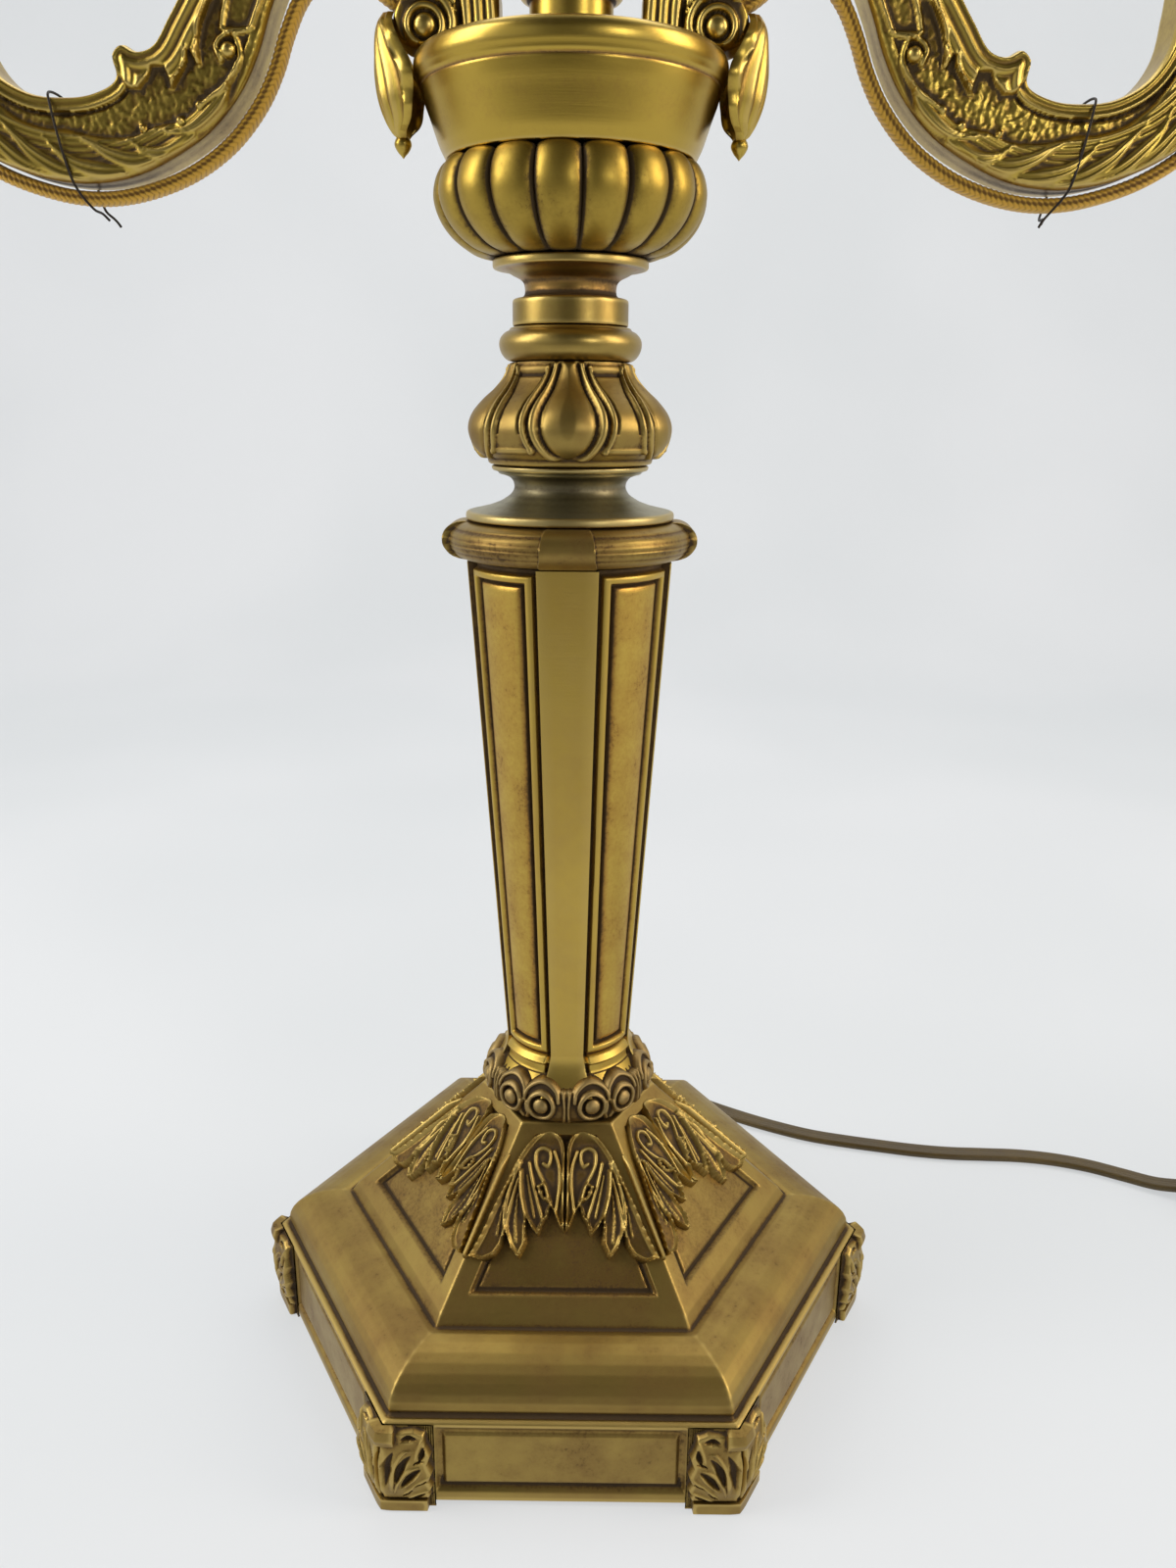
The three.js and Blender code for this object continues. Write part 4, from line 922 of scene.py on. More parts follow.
@dataclass
class Base:
    """Hollow hexagonal casting: plinth with sunk wall panels, ovolo, and framed slopes."""

    plinth: float = 97.8
    frame_corner: float = 70.8
    frame_foot: float = 44.9
    tilt: float = 46.4
    strip: float = 6.46
    panel: tuple[float, float] = (67.0, 19.4)
    panel_middle: float = 16.0

    def outline(self) -> Array:
        """Closed outline of corner radius and height.

        Returns:
            Dense points, inner foot first.
        """
        turn = np.linspace(0, np.pi / 2, 9)
        ovolo = np.stack([76 + 19 * np.cos(turn), 30.5 + 11.5 * np.sin(turn)], axis=1)
        foot = dots("93.8 1.5, 97.8 1.5, 97.8 28.3, 96.4 28.9, 95.6 28.8, 94.6 29.5")
        step = dots("74.6 41.8, 73.2 41.6, 72.5 42.6, 70.8 44.9, 30 82, 27.5 84.5, 8.5 84.5")
        inside_line = dots("8.5 77.5, 21 77.5, 61.8 39.9, 76 36, 93.8 25.5")
        corners = rounded([*foot, *ovolo.tolist(), *step, *inside_line], 0.5, closed=True)
        return densified(corners, 0.6, closed=True)

    def half_width(self, along: Array) -> Array:
        """Half width of a slope at a distance from its foot."""
        return self.frame_corner / 2 - 0.3984 * np.asarray(along)

    def _slope_depth(self, x: Array, along: Array) -> Array:
        """Depth of the frame, its groove and its cushioned panel on a slope."""
        sides = (self.half_width(along) - self.strip - np.abs(x)) / 1.076
        border = np.minimum(np.minimum(sides, along - 6.0), 50.0 - along)
        bevel = -1.0 * smooth_step(border, -0.9, 0.15)
        groove = -0.75 * np.exp(-((border - 0.75) / 0.5) ** 2)
        cushion = 0.15 * smooth_step(border, 0.9, 2.4) + 0.3 * smooth_step(border, 2.0, 14.0)
        return bevel + groove + cushion * (border > 0)

    def _wall_depth(self, x: Array, height: Array) -> Array:
        """Depth of the groove and the sunk panel on a wall."""
        border = np.minimum(self.panel[0] / 2 - np.abs(x), self.panel[1] / 2 - np.abs(height - self.panel_middle))
        lower = 1.0 + 0.5 * smooth_step(self.panel_middle - height, 4.0, 9.0)
        return -1.0 * lower * np.exp(-(np.abs(border) / 1.15) ** 3) - 0.4 * smooth_step(border, -0.2, 0.9)

    def build(self) -> None:
        """Makes the casting."""
        profile = self.outline()
        corner, height = profile[:, 0], profile[:, 1]
        outer = np.arange(len(profile)) < np.argmax(height > 84.4) + 1
        ease = np.where(height < 31, 1.3, 1.0)
        turn = np.radians(np.array([30, 22, 12, 0]))
        feature = np.where(height < 31, self.plinth / 2 - self.panel[0] / 2, self.strip)
        half = corner / 2
        shrink = np.minimum(1.0, half / (feature + 4.0))
        edge = ease[:, None] * (math.tan(math.pi / 6) - np.sin(turn))[None, :]
        drop = ease[:, None] * (1 - np.cos(turn))[None, :]
        start, close = ease * 0.577, feature - 2.8
        plain = start[:, None] + (close - start)[:, None] * np.linspace(0.2, 0.9, 5)[None, :]
        band = feature[:, None] + np.linspace(-2.8, 3.4, 22)[None, :]
        scaled = np.hstack([edge, plain, band]) * shrink[:, None]
        rest = half[:, None] - scaled[:, -1:]
        middle = scaled[:, -1:] + rest * np.linspace(0, 1, 9)[1:-1][None, :]
        offset = np.hstack([scaled, middle])
        depth = np.hstack([drop, np.zeros((len(profile), offset.shape[1] - drop.shape[1]))])
        left = -(half[:, None] - offset)
        x = np.hstack([left, np.zeros((len(profile), 1)), -left[:, :0:-1]])
        drop = np.hstack([depth, np.zeros((len(profile), 1)), depth[:, :0:-1]])
        z = np.broadcast_to(height[:, None], x.shape)
        along = (z - self.frame_foot) / math.sin(math.radians(self.tilt))
        on_slope = outer[:, None] & (z > self.frame_foot + 0.6) & (z < 81.5)
        on_wall = outer[:, None] & (z > 2.5) & (z < 28)
        relief = np.where(on_slope, self._slope_depth(x, along), 0.0) + np.where(on_wall, self._wall_depth(x, z), 0.0)
        lean = math.radians(self.tilt)
        out = -(corner[:, None] * math.cos(math.pi / 6) - drop)
        y = out - relief * np.where(on_slope, math.sin(lean), 1.0)
        z = z + relief * np.where(on_slope, math.cos(lean), 0.0)
        line = hollowness(profile, closed=True)[:, None]
        cut = np.clip((0.12 - relief) * 0.9, -0.3, 1.0) * (relief < -0.05)
        cut = np.where(on_wall, np.clip(-1.1 * (relief + 0.42), -0.3, 1.0), cut)
        crest = -0.4 * np.exp(-(half[:, None] - np.abs(x)) ** 2) * outer[:, None]
        hollow = np.clip(line + cut * np.where(np.abs(relief + 1.0) < 0.45, 0.35, 1.0) + crest, -1, 1)
        points = around(np.stack([x, y, z], axis=-1), 6)
        settle("base_shell", points, Finish.CAST, "base_casting", hollow=np.tile(hollow, (1, 6)))


@dataclass
class CornerFoot:
    """Foot on a corner of the plinth: a block below, a fluted leaf, and a small cap above."""

    corner: float = 97.8
    wing: float = 14.0
    reach: float = 3.4
    height: float = 28.2
    leaf: Line = dots("""
        0 4.1, 12.6 4.1, 12.9 5.4, 12.4 7, 13.8 8.9, 12.9 11.4, 13.9 14.2, 12.7 17.4, 13.5 20, 12.2 22.8,
        11.6 26.4, 8.6 27.6, 5 27.2, 0 27.6""")
    slots: tuple[tuple[Line, float], ...] = (
        (dots("1.1 9.4, 1.4 14, 1.8 18, 2.9 21.6"), 1.05),
        (dots("3.6 11.2, 4.4 15, 6 18.4, 7.8 20.4"), 1.35),
        (dots("4.9 9.3, 6.6 12.2, 8.6 14.6, 10.5 16.1"), 1.15),
        (dots("4.9 5.2, 6.2 6.6, 8 8.1"), 0.6),
        (dots("7.8 4.6, 9.6 5.4, 11.8 7.2"), 0.6),
        (dots("8.2 9.4, 10 10.8, 12.4 11.8"), 0.45),
        (dots("10.2 18.6, 11 21, 11.2 23"), 0.9),
        (dots("5 24.6, 7 25.4, 9.6 25"), 1.1),
        (dots("8.4 17.6, 9.4 18.3, 11.8 18.9"), 0.4),
    )
    ribs: tuple[Line, ...] = (
        dots("2.3 6.6, 2.5 10.5, 2.8 14.6, 4.2 19.2, 6.6 21.9, 8.8 21.7"),
        dots("2.7 6, 4.2 11.6, 7.2 15.8, 10.9 17.3"),
        dots("4.2 8.4, 8.2 12.4, 11.1 16.4"),
        dots("4.6 5.2, 7.3 8.8, 11.4 12.6, 13.4 14.2"),
        dots("9 19, 9.8 22.4, 11.6 26"),
        dots("6.4 4.6, 9.6 7, 13.4 8.9"),
    )

    def relief(self) -> Relief:
        """Leaf on one wing, from the corner to the wing's end.

        Returns:
            Heights over length and height.
        """
        work = Relief((-0.6, 0.0), (self.wing + 0.4, self.height + 0.2), 0.1)
        swell = np.interp(work.v, [0, 4.1, 5.0, 8, 13, 18, 22, 25.5, 28.2],
                          [0, -1.6, -1.3, -0.5, 0.2, 0.2, -0.4, -1.2, -1.9])
        border = work.border(np.array(self.leaf))
        leaf = -3.1 + (swell + 3.1) * smooth_step(border, -0.25, 0.7)
        block = np.where(work.u < 12.0, -0.9, -3.1) - 0.6 * smooth_step(0.5 - work.v, 0.0, 0.5)
        work.height = np.where(work.v < 4.1, block, leaf)
        for slot, wide in self.slots:
            work.bead(slot, wide, -1.7, taper=0.6, smooth=16)
        for rib in self.ribs:
            work.bead(rib, 0.5, 0.55, taper=0.25, smooth=24)
        work.bead(dots("0 5, 0 12, 0 22"), 0.9, 0.8, taper=0.2, smooth=12)
        cap = smooth_step(3.4 - work.u, -0.2, 0.3) * smooth_step(work.v, 22.9, 23.5)
        work.height = work.height * (1 - cap) + cap * (0.5 - 0.32 * np.abs(work.v - 25.6))
        return work.finish(0.8, 0.5)

    def build(self) -> None:
        """Makes the six feet."""
        work = self.relief()
        height = np.unique(np.concatenate([np.arange(0, self.height, 0.25), [4.05, 4.15, 4.4, self.height]]))
        side = np.linspace(-self.wing, self.wing, 117)
        turn = np.clip(side / 2.6, -1, 1) * math.pi / 6
        wall = np.where(side >= 0, 1.0, -1.0)
        raised = work.read(np.abs(side)[None, :], height[:, None])
        out = self.reach + raised
        x = self.corner - 0.5 * np.abs(side)[None, :] + out * np.cos(turn)[None, :]
        y = wall[None, :] * 0.866 * np.abs(side)[None, :] + out * np.sin(turn)[None, :]
        outer = np.stack(np.broadcast_arrays(x, y, height[:, None]), axis=-1)
        back = []
        for share in (self.wing, self.wing / 2, 0.0, -self.wing / 2, -self.wing):
            lean, reach = (math.copysign(math.pi / 6, share), 0.3) if share else (0.0, 0.35)
            back.append((self.corner - 0.5 * abs(share) + reach * math.cos(lean),
                         0.866 * share + reach * math.sin(lean)))
        rear = np.array([[(bx, by, z) for bx, by in back] for z in height])
        points, faces = capped(np.concatenate([outer, rear], axis=1))
        hollow = np.zeros((len(height), len(side) + len(back)))
        hollow[:, :len(side)] = work.read(np.abs(side)[None, :], height[:, None], work.hollow)
        for index in range(6):
            settle(f"leaf_foot_{index + 1}", (turned(points, 60 * index), faces), Finish.CAST,
                   f"corner_foot_{index + 1}", hollow=hollow, crease=50)


@dataclass
class LeafCollar:
    """Six acanthus leaves over the slopes, their long tips on the ridges."""

    base: Base
    thick: float = 1.25
    rim: float = 1.0
    outer: Line = dots("""
        -27.6 15.4, -23.9 22.4, -20.6 29.8, -16.9 37.2, -14.3 42.8, -11.2 47.7, -8.2 50.8, -4.6 52, -1.7 50.1,
        -0.35 46.5, -0.3 42.1, -0.3 35.2, -0.3 28.4, 0 22.4""")
    hem: Line = dots("""
        -1.6 23.9, -2.9 26.9, -4.3 29.6, -5 26.6, -6.4 24.6, -7.7 21.2, -9.6 23.2, -11.2 26.2, -11.1 19.1,
        -13.3 14.9, -15.6 17.8, -17.3 22.6, -18.1 18.9, -20.3 15.8, -23.8 14.2""")
    veins: tuple[Line, ...] = (
        dots("-13.5 42.1, -16.4 33.8, -17.7 27.1, -17.8 21.8, -18.1 19.1, -20.1 16.2, -23.7 14.5, -27.2 15.4"),
        dots("""
            -13 40, -15.7 31.1, -17 24.4, -16.5 19.8, -13.3 15.4, -11.3 19.1, -11.1 23.1, -12.1 28.4, -13.2 33.8,
            -13.2 40"""),
        dots("-13 39.3, -12.6 32.5, -10.7 25.8, -7.8 21.7, -6.6 25.1, -7.8 29.8, -9.7 36.6, -10.8 42.1"),
        dots("-6.5 25.6, -5.2 26.8, -4.3 30, -5.1 33.1, -6.5 35.9, -7.9 35.2"),
        dots("""
            -5 31.1, -5.8 35.2, -7.6 38.6, -8.9 42.1, -8.6 45.5, -6.7 46.6, -4.8 45.5, -4.5 43.3, -5.3 41.2,
            -6.6 41.9"""),
        dots("-3.4 45.5, -1.9 40.7, -1.8 35.2, -2.5 29.8, -2.7 27.1, -1.5 24.3, 0 22.6"),
        dots("-7.9 35.2, -6.8 32.5, -5 31.1"),
        dots("-19.8 21.5, -18.4 29, -16 36"),
        dots("-14.2 19.5, -14.6 25, -14 33"),
        dots("-9.1 26.5, -10.2 32, -11.4 38.5"),
    )

    def relief(self) -> Relief:
        """Left half of one leaf, over the place across and up a slope.

        Returns:
            Heights, far below the slope where there is no leaf.
        """
        work = Relief((-32.0, 9.0), (1.0, 53.0), 0.16)
        leaf = np.vstack([spline(self.outer, 90), np.asarray(self.hem)])
        border = work.border(leaf)
        work.height = -2.6 + (2.6 + self.thick) * smooth_step(border, -0.3, 0.32)
        floor = smooth_step(border, 0.3, 1.2)
        work.height -= 0.7 * floor
        path = spline(self.outer, 110)
        work.bead(path, 0.75, self.rim)
        for order, vein in enumerate(self.veins):
            slim = 0.4 if order >= 7 else 0.62
            work.bead(vein, slim, 0.5 if order >= 7 else self.rim, smooth=60)
        work.dome((-7.2, 33.6), 1.1, self.thick + 0.6)
        ridge = self.base.half_width(work.v) + work.u
        band = smooth_step(work.v, 14.5, 16.0) * (1 - smooth_step(work.v, 40.0, 47.0))
        lift = (self.thick + 0.5) * np.clip(1 - (ridge / 0.95) ** 2, 0, 1) ** 0.5 * band
        work.height = np.maximum(work.height, np.where(lift > 0.3, lift, -2.6))
        fade = smooth_step(work.v, 49.0, 52.0)
        work.height = work.height * (1 - fade) + fade * np.minimum(work.height, 0.2)
        work.finish(0.9, 0.5)
        sunk = floor * smooth_step(self.thick - 0.1 - work.height, 0.1, 0.6)
        work.hollow = np.clip(0.85 * work.hollow + 0.4 * sunk, -1, 1)
        return work

    def build(self) -> None:
        """Makes the collar as one closed skin."""
        work = self.relief()
        along = np.arange(12.0, 52.2, 0.34)[:, None]
        share = np.linspace(-1, 1, 161)[None, :-1]
        half = self.base.half_width(along)
        place = -np.abs(share * half), np.repeat(along, share.size, axis=1)
        height, hollow = work.read(*place), work.read(*place, work.hollow)
        lean = math.radians(self.base.tilt)

        def placed(lift: Array) -> Array:
            """Points of all six faces at a height over the slopes."""
            run = half / math.tan(math.pi / 6) + lift * math.sin(lean)
            rise = self.base.frame_foot + along * math.sin(lean) + lift * math.cos(lean)
            return around(np.stack([share * run * math.tan(math.pi / 6), -run, rise], axis=-1), 6)

        top, under = placed(height), placed(np.full_like(height, -2.7))
        quads = grid_faces(*top.shape[:2], loop_cols=True)
        kept = quads[(np.tile(height, (1, 6)).ravel()[quads] > -2.4).any(axis=1)]
        corners, faces, source = closed_skin(top.reshape(-1, 3), under.reshape(-1, 3), kept)
        settle("acanthus_collar", (corners, faces), Finish.CAST, "leaf_collar",
               hollow=np.tile(hollow, (1, 6)).ravel()[source], crease=60)


def closed_skin(top: Array, under: Array, quads: Array) -> tuple[Array, Array, Array]:
    """Closes a patch of faces with a copy below it and walls along its border.

    Args:
        top: Upper points.
        under: Lower points, one for each upper point.
        quads: Faces of the upper patch.
    Returns:
        Points, faces, and the upper point that each point comes from.
    """
    used, compact = np.unique(quads, return_inverse=True)
    quads = compact.reshape(-1, 4)
    count = len(used)
    edges = np.stack([quads, np.roll(quads, -1, axis=1)], axis=-1).reshape(-1, 2)
    keys = edges[:, 0] * count + edges[:, 1]
    border = edges[~np.isin(keys, edges[:, 1] * count + edges[:, 0])]
    walls = np.stack([border[:, 1], border[:, 0], border[:, 0] + count, border[:, 1] + count], axis=1)
    faces = np.vstack([quads, quads[:, ::-1] + count, walls])
    return np.vstack([top[used], under[used]]), faces, np.concatenate([used, used])


@dataclass
class MedallionRing:
    """Ring of twelve round medallions under arches, around the foot of the column."""

    middle: float = 90.6
    spread: float = 17.8
    scale: float = 0.46

    def relief(self) -> Relief:
        """One sixth of the ring.

        Returns:
            Heights over the distance along the ring and the height.
        """
        work = Relief((-14.0, 84.0), (14.0, 99.4), 0.12)
        turn = np.linspace(0, 2 * np.pi, 40)
        work.height -= 0.35
        for side in (-1, 1):
            u = side * self.spread * self.scale
            for radius, width, height in ((4.05, 0.95, 1.3), (3.0, 0.5, -0.7)):
                work.bead(np.stack([u + radius * np.cos(turn), self.middle + radius * np.sin(turn)], axis=1), width,
                          height)
            work.dome((u, self.middle), 2.5, 1.3)
            arch = [(u - 5.6, 92.4), (u - 5.1, 95.0), (u - 2.8, 97.0), (u, 97.7), (u + 2.8, 97.0), (u + 5.1, 95.0),
                    (u + 5.6, 92.4)]
            work.bead(arch, 0.75, 1.0, smooth=30)
            work.bead([(u * 1.62, 85.2), (u * 1.5, 88.0), (u * 1.62, 91.5)], 0.7, 0.9, smooth=12)
        for u in (-0.75, 0.75):
            work.bead([(u, 85.4), (u * 0.8, 90.0), (u * 1.6, 96.0)], 0.55, 0.75, smooth=12)
        far = np.abs(np.abs(work.u) - self.spread * self.scale)
        above = 98.3 - np.clip(far, 0, 6.2) ** 2 * 0.075
        work.height -= 2.4 * smooth_step(work.v, above - 0.1, above + 0.4)
        return work.finish(0.8, 0.4)

    def build(self) -> None:
        """Makes the ring."""
        work = self.relief()
        degrees = np.linspace(-30, 30, 157)[:-1]
        height = np.arange(84.9, 98.9, 0.2)
        plain = np.interp(height, [84.8, 85.6, 87.0, 91.0, 93.6, 96.0, 98.4, 99],
                          [24.6, 25.5, 26.0, 26.1, 25.6, 24.4, 22.9, 22])
        u = np.broadcast_to(degrees[None, :] * self.scale, (len(height), len(degrees)))
        v = np.broadcast_to(height[:, None], u.shape)
        raised, hollow = work.read(u, v), work.read(u, v, work.hollow)
        outer = around(polar(degrees, plain[:, None] + raised, v), 6)
        inner = lining(outer.shape[1], -30, dots("20.3 98.6, 22 93.2, 18 93.1, 18 84.9"))
        # The inner lining gets a groove value of 0.4 so the brass is darker inside the ring: painted shade.
        values = np.concatenate([np.tile(hollow, (1, 6)), np.full(inner.shape[:2], 0.4)])
        settle("medallions", np.concatenate([outer, inner]), Finish.DULL, "medallion_ring", hollow=values,
               crease=60)


@dataclass
class Column:
    """Tapered column: four flat strips, with a framed and sunk panel between each two."""

    low: float = 93.4
    top: float = 253.7
    waist: float = 104.4
    foot_radius: float = 19.2
    head_radius: float = 28.6
    strips: tuple[float, float] = (5.0, 8.4)
    panel_foot: float = 105.2

    def radius(self, height: Array) -> Array:
        """Distance of a strip from the axis."""
        flare = 5.8 * np.clip((self.waist - height) / (self.waist - self.low), 0, 1) ** 2.1
        share = np.clip((height - self.waist) / (self.top - self.waist), 0, 1)
        return self.foot_radius + (self.head_radius - self.foot_radius) * share + flare

    def strip(self, height: Array) -> Array:
        """Half width of a strip."""
        share = (height - self.waist) / (self.top - self.waist)
        return self.strips[0] + (self.strips[1] - self.strips[0]) * np.clip(share, 0, 1) + np.interp(
            height, [93.4, 96.0, 100.0, 104.4], [3.0, 1.9, 0.8, 0.0])

    def _zone(self, side: Array, height: Array) -> Array:
        """Height of frame and panel over the round body, at a distance from the nearer strip."""
        wide = np.interp(height, [self.waist, self.top], [0.85, 1.0])
        from_head = (self.top - 0.2 - height) * 1.15
        from_foot = (height - self.panel_foot) * 1.15 + 1.7
        d = np.minimum(np.minimum(side / wide, from_head), from_foot)
        beside = -1.3 * (1 - smooth_step(d, 0.7, 2.0))
        frame = 0.45 * np.clip(1 - ((d - 2.9) / 1.15) ** 2, 0, 1) ** 0.5
        groove = -1.15 * np.exp(-((d - 4.75) / 0.6) ** 2)
        panel = -0.75 * smooth_step(d, 4.0, 4.6) + 0.3 * smooth_step(d, 5.0, 7.4)
        shape = beside + frame + groove + panel
        ledge = np.interp(height, [93.4, 94.4, 95.0, 99.2, 101.3, 102.0, 103.8, 104.4, 105.3],
                          [0.5, 0.5, -0.1, -0.2, 0.4, 1.5, 0.5, -0.9, -0.6])
        beside_low = -1.2 * (1 - smooth_step(side, 0.6, 1.7))
        return np.where(height < self.panel_foot - 0.4, ledge + beside_low, shape)

    def build(self) -> None:
        """Makes the column."""
        height = np.concatenate([np.arange(self.low, 111.0, 0.25), np.linspace(111.0, 244.0, 46)[:-1],
                                 np.arange(244.0, self.top, 0.22), [self.top]])
        radius, half = self.radius(height)[:, None], self.strip(height)[:, None]
        swing = np.degrees(np.arctan2(half, radius))
        ground = radius - 0.35
        arc = np.radians(90 - 2 * swing) * ground
        near = np.concatenate([[0.0, 0.25, 0.6], np.arange(0.9, 5.7, 0.23), [6.2, 6.9, 7.8]])
        count = len(near)
        flat = np.array([-1.0, -0.985, -0.93, -0.5, 0.0, 0.5, 0.93, 0.985])
        dull = 0.4 * (np.abs(flat) > 0.99)[None, :] + 0.12 * (np.abs(np.abs(flat) - 0.985) < 0.004)[None, :]
        strip = np.stack(np.broadcast_arrays(flat[None, :] * half, dull - radius, height[:, None]), axis=-1)
        middle = 7.8 + (arc / 2 - 7.8) * np.array([0.35, 0.7, 1.0, 0.7, 0.35])[None, :]
        side = np.concatenate([np.broadcast_to(near, (len(height), count)), middle,
                               np.broadcast_to(near[::-1], (len(height), count))], axis=1)
        side = np.minimum(side, arc / 2)
        reach = np.where(np.arange(side.shape[1])[None, :] <= count + 2, side, arc - side)
        degrees = swing + np.degrees(reach / ground)
        zone = self._zone(side, height[:, None])
        corner = np.hypot(radius - 0.4, half)
        start = np.where(side < 0.02, corner, ground + zone)
        wall = polar(degrees, start, np.broadcast_to(height[:, None], side.shape))
        sector = np.concatenate([strip, wall], axis=1)
        rim = -0.5 - 0.2 * (np.abs(flat) > 0.9)[None, :] + 0.0 * height[:, None]
        near_groove = np.exp(-(np.maximum(np.abs(side - 4.9) - 0.5, 0) / 0.9) ** 2)
        dark = np.clip(-zone * 0.75 - 0.2 + 0.3 * near_groove * (height[:, None] > self.panel_foot), -0.4, 1.0)
        hollow = np.concatenate([rim, dark], axis=1)
        outer = around(sector, 4)
        inner = lining(outer.shape[1], -math.degrees(math.atan2(7, 24)), ((23.5, self.top), (14.2, self.low)))
        settle("fluted_column", np.concatenate([outer, inner]), Finish.COLUMN, "column",
               hollow=np.tile(hollow, (1, 4)))


@dataclass
class Capital:
    """Ribbed torus on the column, with a folded band over each strip."""

    low: float = 254.0
    band: tuple[float, float] = (6.7, 8.6)

    def build(self) -> None:
        """Makes the capital."""
        torus = spline(dots("""
            14 0, 26 0, 28.4 0.1, 31.6 1, 33.6 3, 34.3 5.4, 33.6 7.8, 31.8 9.4, 29.6 10.3, 26 10.6, 14 10.6"""), 90)
        fold = spline(dots("""
            14 0, 26 0, 29.6 0.2, 33.2 1.5, 35.3 4, 35.5 6.6, 34.2 8.9, 31.4 10.4, 28 10.6, 14 10.6"""), 90)
        height = torus[:, 1]
        outside = torus[:, 0] > 29
        ribs = np.zeros(90)
        for middle, depth in dots("2.6 0.3, 3.9 0.28, 5.2 0.3, 6.5 0.24, 8.6 0.4"):
            ribs += depth * np.exp(-((height - middle) / 0.3) ** 2) * outside
        near = np.array([-9.4, -9, -8.7, -8.4, -8.1, -7.8, -7.5, -7.2, -6.9, -6.6, -6.3, -6, -4, -1.5])
        far = np.linspace(-26.7, -10.4, 12)
        across = np.concatenate([far, near, -near[::-1], -far[:0:-1]])
        degrees = across / 26.7 * 45
        half = np.interp(fold[:, 1], [0, 3, 10.6], [self.band[1], self.band[0] + 0.6, self.band[0]])[:, None]
        on = smooth_step(half - np.abs(across)[None, :], -0.28, 0.28)
        edge = np.exp(-((half - np.abs(across)[None, :]) / 0.5) ** 2)
        turn = np.cos(np.radians(degrees))[None, :]
        radius = (torus[:, :1] - ribs[:, None]) * (1 - on) + fold[:, :1] / turn * on
        rise = torus[:, 1:] * (1 - on) + fold[:, 1:] * on
        body = (fold[:, :1] > 20) | (torus[:, :1] > 20)
        radius = np.where(body, radius, torus[:, :1])
        sector = polar(degrees[None, :], radius, self.low + rise)
        line = np.clip(ribs * 1.8, 0, 1)[:, None] * (1 - on)
        beside = 0.8 * edge * (np.abs(across)[None, :] > half) - 0.6 * edge * (np.abs(across) <= half)
        hollow = np.tile(np.clip(line + beside, -1, 1), (1, 4))
        settle("banded_capital", around(sector, 4), Finish.CAST, "column_capital", hollow=hollow)


@dataclass
class Knop:
    """Swelling knop with five framed tongues, the panels between them framed too."""

    low: float = 279.9
    scale: float = 0.46
    outline: Line = dots("""
        21.6 0, 22.6 0.4, 23 1.6, 24 2.2, 25.8 4.4, 27.1 8, 27.2 10.2, 26.2 12.9, 23.6 16.1, 20.2 19.2, 17.8 22,
        16.5 24.6, 16.1 26.5""")

    def relief(self) -> Relief:
        """One fifth of the knop, over the distance across and the height above its foot.

        Returns:
            Heights over the turned body.
        """
        work = Relief((-17.0, -0.4), (17.0, 27.0), 0.14)
        body = dots("""
            -2.6 27, -3 24, -4.5 19.8, -6.1 14.6, -6.5 11.2, -5.8 7.2, -3.9 4, 0 2.3, 3.9 4, 5.8 7.2, 6.5 11.2,
            6.1 14.6, 4.5 19.8, 3 24, 2.6 27""")
        border = work.border(spline(body, 80))
        work.height += 1.25 * np.clip(border / 4.6, 0, 1) ** 0.55
        near = dots("""
            -5.2 27, -5.9 24, -7.3 20.2, -8.9 15.6, -9.4 11.6, -8.5 7, -5.6 3, 0 0.9, 5.6 3, 8.5 7, 9.4 11.6,
            8.9 15.6, 7.3 20.2, 5.9 24, 5.2 27""")
        work.bead(near, 0.95, 0.95, smooth=80)
        work.pair(dots("8.6 25, 9.6 22, 11.2 18, 12 14.4, 12.1 10.6, 11.2 6.6, 10 4.2"), 0.8, 0.95, 40)
        work.pair(((8.8, 24.8), (17.0, 24.8)), 0.8, 0.35)
        work.pair(((10.0, 4.1), (17.0, 4.1)), 0.8, 0.45)
        work.pair(dots("6.8 24.6, 8.6 19.4, 10.5 14.6, 10.8 10.8, 9.8 6"), 0.6, -0.75, 40)
        work.pair(dots("9.8 23.4, 11 20.6, 12.9 17, 13.4 13, 13 8.6"), 0.45, -0.5, 40)
        work.pair(((9.8, 23.2), (17.0, 23.2)), 0.5, -0.55)
        work.pair(dots("3.8 25.6, 5.5 20, 7.3 14.8, 7.5 11.2, 6.7 6.8, 4.4 3.2, 0 1.4"), 0.5, -0.75, 40)
        return work.finish(0.9, 0.4)

    def build(self) -> None:
        """Makes the knop."""
        work = self.relief()
        profile = spline(self.outline, 108)
        degrees = np.linspace(-36, 36, 97)[:-1]
        rise = np.broadcast_to(profile[:, 1:], (len(profile), len(degrees)))
        u = np.broadcast_to(degrees * self.scale, rise.shape)
        share = smooth_step(profile[:, 1:], 1.4, 2.6) * (1 - smooth_step(profile[:, 1:], 25.8, 26.5))
        raised, hollow = work.read(u, rise) * share, work.read(u, rise, work.hollow) * share
        slope = unit(np.gradient(profile, axis=0))
        radius = profile[:, :1] + raised * slope[:, 1:]
        height = self.low + rise - raised * slope[:, :1]
        outer = around(polar(degrees, radius, height), 5)
        rings = [(r, self.low + z) for r, z in dots("7.1 26.5, 7.1 22.5, 14 18.5, 20 9, 19 5, 7.1 3, 7.1 0")]
        points = np.concatenate([outer, lining(outer.shape[1], -36, rings)])
        groove = np.clip(np.tile(hollow, (1, 5)) + hollowness(profile, closed=False)[:, None] * 0.8, -1, 1)
        settle("tongued_knop", points, Finish.CAST, "knop", hollow=groove, crease=55)


